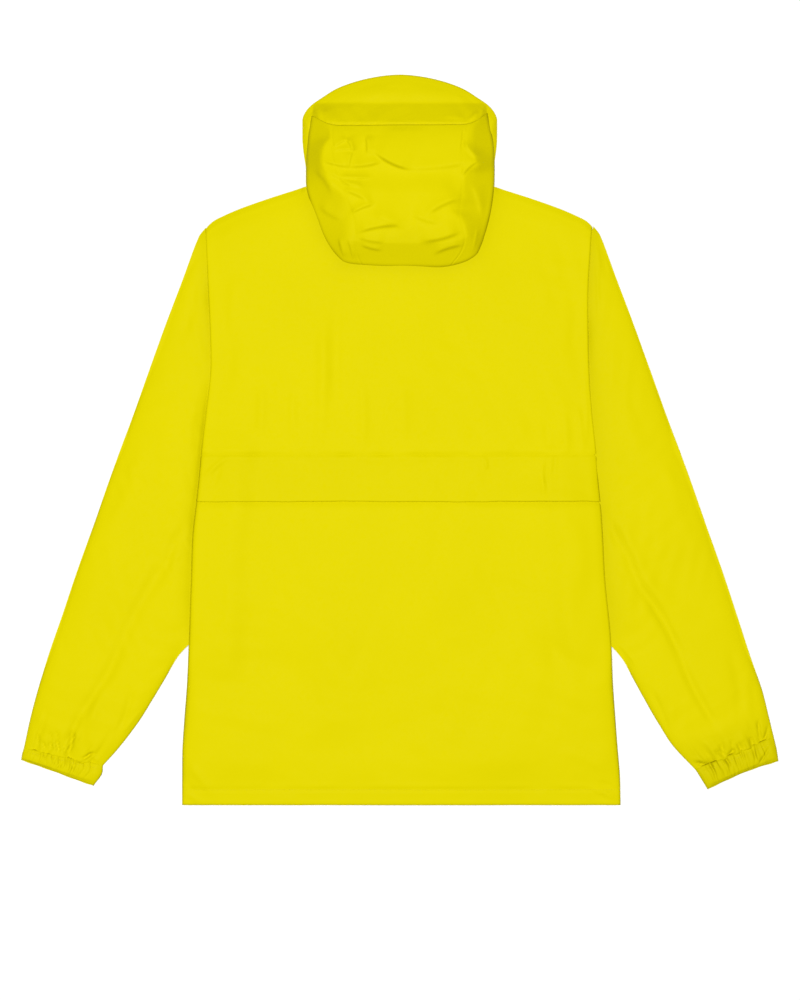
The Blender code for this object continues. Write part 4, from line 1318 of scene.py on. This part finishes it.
def add_hood_folds(sizes, cloth):
    """The hood's hidden layers, as one rounded stack with three soft folds at its edge."""
    outline = hood_outline(16)
    centre = outline.mean(axis=0)
    high = ON_BODY + 0.36 * sizes.hood_loft / MM
    points = []
    for level in np.linspace(0.0, 1.0, 22):
        folds = abs(math.sin(level * math.pi * 3.0)) ** 0.6
        inset = 0.85 - 0.05 * (1.0 - folds) - 0.16 * level ** 3
        ring = centre + (outline - centre) * inset
        low = np.where(ring[:, 1] > BACK_ENDS_Y, OFF_BODY, ON_BODY - 0.2)
        points.append(stack(ring[:, 0], ring[:, 1], low + (high - low) * level))
    mesh = lattice("hood_folds_cloth", np.array(points), around=True, flipped=True)
    close_ends(mesh)
    piece = add_piece("hood_folds_cloth", mesh, cloth, ["hood_folds"])


def close_ends(mesh):
    """Close a tube's two open ends."""
    bm = bmesh.new()
    bm.from_mesh(mesh)
    bmesh.ops.holes_fill(bm, edges=[e for e in bm.edges if e.is_boundary])
    bmesh.ops.triangulate(bm, faces=[f for f in bm.faces if len(f.verts) > 4])
    bmesh.ops.recalc_face_normals(bm, faces=bm.faces)
    bm.to_mesh(mesh)
    bm.free()


# ---------------------------------------------------------------- stage
LENS, SENSOR = 85.0, 36.0                       # the camera's, in millimetres
PICTURE_HEIGHT = 1.2                            # how much of the floor it takes in, in metres
CAMERA_X, CAMERA_Y = 0.0003, -0.0723            # what it stands above
GARMENT_LEVEL = 0.006                           # the cloth's usual height above the floor
SKY_AS_LIGHT, SKY_AS_SEEN = 0.16, 0.86          # the strength of the surroundings


def add_floor(colour):
    """A plain pale floor just under the garment."""
    bpy.ops.mesh.primitive_plane_add(size=24.0, location=(0.0, 0.0, -0.0002))
    floor = bpy.context.object
    floor.name = "floor"
    made = Recipe(bpy.data.materials.new("studio_floor"))
    place = made.add("ShaderNodeTexCoord", output="Object")
    grain = made.add("ShaderNodeTexNoise", None, {"Vector": place, "Scale": 3.0})
    tone = made.blend(grain, tinted(colour, 0.995), tinted(colour, 1.0))
    floor.data.materials.append(made.finish(
        {"Base Color": tone, "Roughness": 0.9, "Specular IOR Level": 0.0}))


def add_surroundings():
    """Plain white all round: dim as a light, and bright where it is seen."""
    world = bpy.data.worlds.new("studio")
    bpy.context.scene.world = world
    made = Recipe(world, "Background")
    seen = made.add("ShaderNodeLightPath", output="Is Camera Ray")
    strength = SKY_AS_LIGHT + (SKY_AS_SEEN - SKY_AS_LIGHT) * seen
    made.finish({"Color": (1.0, 1.0, 1.0, 1.0), "Strength": strength})


def add_softbox(name, place, size, power):
    """A square lamp that faces the middle of the garment."""
    lamp = bpy.data.lights.new(name, "AREA")
    lamp.shape = "SQUARE"
    lamp.size = size
    lamp.energy = power
    holder = bpy.data.objects.new(name, lamp)
    holder.location = place
    aim = -np.array(place)
    holder.rotation_euler = (math.atan2(math.hypot(aim[0], aim[1]), -aim[2]), 0.0,
                             math.atan2(aim[0], -aim[1]) + math.pi)
    bpy.context.scene.collection.objects.link(holder)


def add_camera():
    """The camera, straight above the garment."""
    optics = bpy.data.cameras.new("camera")
    optics.lens = LENS
    optics.sensor_width = SENSOR
    camera = bpy.data.objects.new("camera", optics)
    distance = PICTURE_HEIGHT * LENS / SENSOR
    camera.location = (CAMERA_X, CAMERA_Y, distance + GARMENT_LEVEL)
    bpy.context.scene.collection.objects.link(camera)
    bpy.context.scene.camera = camera


# ---------------------------------------------------------------- the add-on
class AnorakSizes(bpy.types.PropertyGroup):
    """Sizes of the laid garment."""
    cloth: FloatProperty(
        name="Cloth", description="Thickness of the shown cloth",
        default=0.0005, min=0.0002, max=0.001, unit="LENGTH", subtype="DISTANCE")
    body_loft: FloatProperty(
        name="Body loft", description="Height of the air between front and back",
        default=0.0052, min=0.001, max=0.01, unit="LENGTH", subtype="DISTANCE")
    sleeve_loft: FloatProperty(
        name="Sleeve loft", description="Height of a sleeve's middle",
        default=SLEEVE_LOFT * MM, min=0.003, max=0.012, unit="LENGTH", subtype="DISTANCE")
    hood_loft: FloatProperty(
        name="Hood loft", description="Height of the folded hood on the back",
        default=0.0165, min=0.006, max=0.02, unit="LENGTH", subtype="DISTANCE")
    crinkle: FloatProperty(
        name="Crinkle", description="Depth of the small crinkles, 1 as made",
        default=1.0, min=0.0, max=2.0)


class AnorakColours(bpy.types.PropertyGroup):
    """Colours of the cloth, the thread and the floor."""
    shell: FloatVectorProperty(
        name="Shell", description="The nylon's lemon yellow",
        default=(0.715, 0.628, 0.0), min=0.0, max=1.0, size=3, subtype="COLOR")
    thread: FloatVectorProperty(
        name="Thread", description="The sewing thread",
        default=(0.78, 0.66, 0.005), min=0.0, max=1.0, size=3, subtype="COLOR")
    floor: FloatVectorProperty(
        name="Floor", description="The pale floor",
        default=(0.98, 0.98, 0.98), min=0.0, max=1.0, size=3, subtype="COLOR")


class ANORAK_OT_body(bpy.types.Operator):
    """Make the front, the back and the storm flap"""
    bl_idname = "anorak.body"
    bl_label = "Body"

    def execute(self, context):
        sizes, colours = context.scene.anorak_sizes, context.scene.anorak_colours
        cloth = nylon("nylon_body", colours.shell)
        add_front(sizes, cloth)
        add_back_upper(sizes, cloth)
        add_back_lower(sizes, cloth)
        add_flap(sizes, nylon("nylon_flap", colours.shell, turn=math.pi / 2.0))
        return {"FINISHED"}


class ANORAK_OT_sleeves(bpy.types.Operator):
    """Make the two sleeves and their gathered cuffs"""
    bl_idname = "anorak.sleeves"
    bl_label = "Sleeves"

    def execute(self, context):
        sizes, colours = context.scene.anorak_sizes, context.scene.anorak_colours
        for word, side, end, rows, cuff, cuff_rows in (
            ("left", -1, LEFT_END, LEFT_CREASES, LEFT_CUFF, LEFT_CUFF_CREASES),
            ("right", 1, RIGHT_END, RIGHT_CREASES, RIGHT_CUFF, RIGHT_CUFF_CREASES),
        ):
            lean = math.radians(20.0) * side
            cloth = nylon("nylon_sleeve_" + word, colours.shell, turn=lean)
            add_sleeve(word, side, SLEEVE_HEAD + end, rows, sizes, cloth)
            add_cuff(word, side, cuff, cuff_rows, cloth)
        return {"FINISHED"}


class ANORAK_OT_hood(bpy.types.Operator):
    """Make the folded hood and its throat part"""
    bl_idname = "anorak.hood"
    bl_label = "Hood"

    def execute(self, context):
        sizes, colours = context.scene.anorak_sizes, context.scene.anorak_colours
        crown = nylon("nylon_crown", colours.shell)
        side = nylon("nylon_hood_sides", colours.shell, turn=math.radians(12.0))
        # Painted shade: the hood's inside is darkened a little.
        inside = nylon("nylon_inside", colours.shell, shade=0.98)
        add_throat(sizes, inside)
        add_hood_folds(sizes, inside)
        add_hood_outside(sizes, crown, side)
        return {"FINISHED"}


class ANORAK_OT_stitches(bpy.types.Operator):
    """Sew the hem and the cuffs' casings"""
    bl_idname = "anorak.stitches"
    bl_label = "Stitches"

    def execute(self, context):
        material = thread(context.scene.anorak_colours.thread)
        stitch_hem(material)
        stitch_cuff("left", -1, LEFT_CUFF, material)
        stitch_cuff("right", 1, RIGHT_CUFF, material)
        return {"FINISHED"}


class ANORAK_OT_stage(bpy.types.Operator):
    """Make the floor, the lights and the camera"""
    bl_idname = "anorak.stage"
    bl_label = "Stage"

    def execute(self, context):
        add_floor(context.scene.anorak_colours.floor)
        add_surroundings()
        add_softbox("key", (-0.2, 0.05, 4.2), 1.4, 178.0)
        add_camera()
        context.scene.view_settings.view_transform = "Standard"
        return {"FINISHED"}


class ANORAK_PT_panel(bpy.types.Panel):
    """The anorak's sizes, colours and makers"""
    bl_idname = "ANORAK_PT_panel"
    bl_label = "Anorak"
    bl_space_type = "VIEW_3D"
    bl_region_type = "UI"
    bl_category = "Anorak"

    def draw(self, context):
        layout = self.layout
        for group in (context.scene.anorak_sizes, context.scene.anorak_colours):
            for key in group.bl_rna.properties.keys():
                if key not in {"rna_type", "name"}:
                    layout.prop(group, key)
        for operator in OPERATORS:
            layout.operator(operator.bl_idname)


OPERATORS = (ANORAK_OT_stage, ANORAK_OT_body, ANORAK_OT_sleeves, ANORAK_OT_hood,
             ANORAK_OT_stitches)
CLASSES = (AnorakSizes, AnorakColours) + OPERATORS + (ANORAK_PT_panel,)


def register():
    """Make the classes and the scene's settings known."""
    for item in CLASSES:
        bpy.utils.register_class(item)
    bpy.types.Scene.anorak_sizes = PointerProperty(type=AnorakSizes)
    bpy.types.Scene.anorak_colours = PointerProperty(type=AnorakColours)


def unregister():
    """Take back what register() made known."""
    del bpy.types.Scene.anorak_colours
    del bpy.types.Scene.anorak_sizes
    for item in reversed(CLASSES):
        bpy.utils.unregister_class(item)


def main():
    """Make the whole anorak and its stage."""
    register()
    bpy.ops.anorak.stage()
    bpy.ops.anorak.body()
    bpy.ops.anorak.sleeves()
    bpy.ops.anorak.hood()
    bpy.ops.anorak.stitches()


if __name__ == "__main__":
    main()
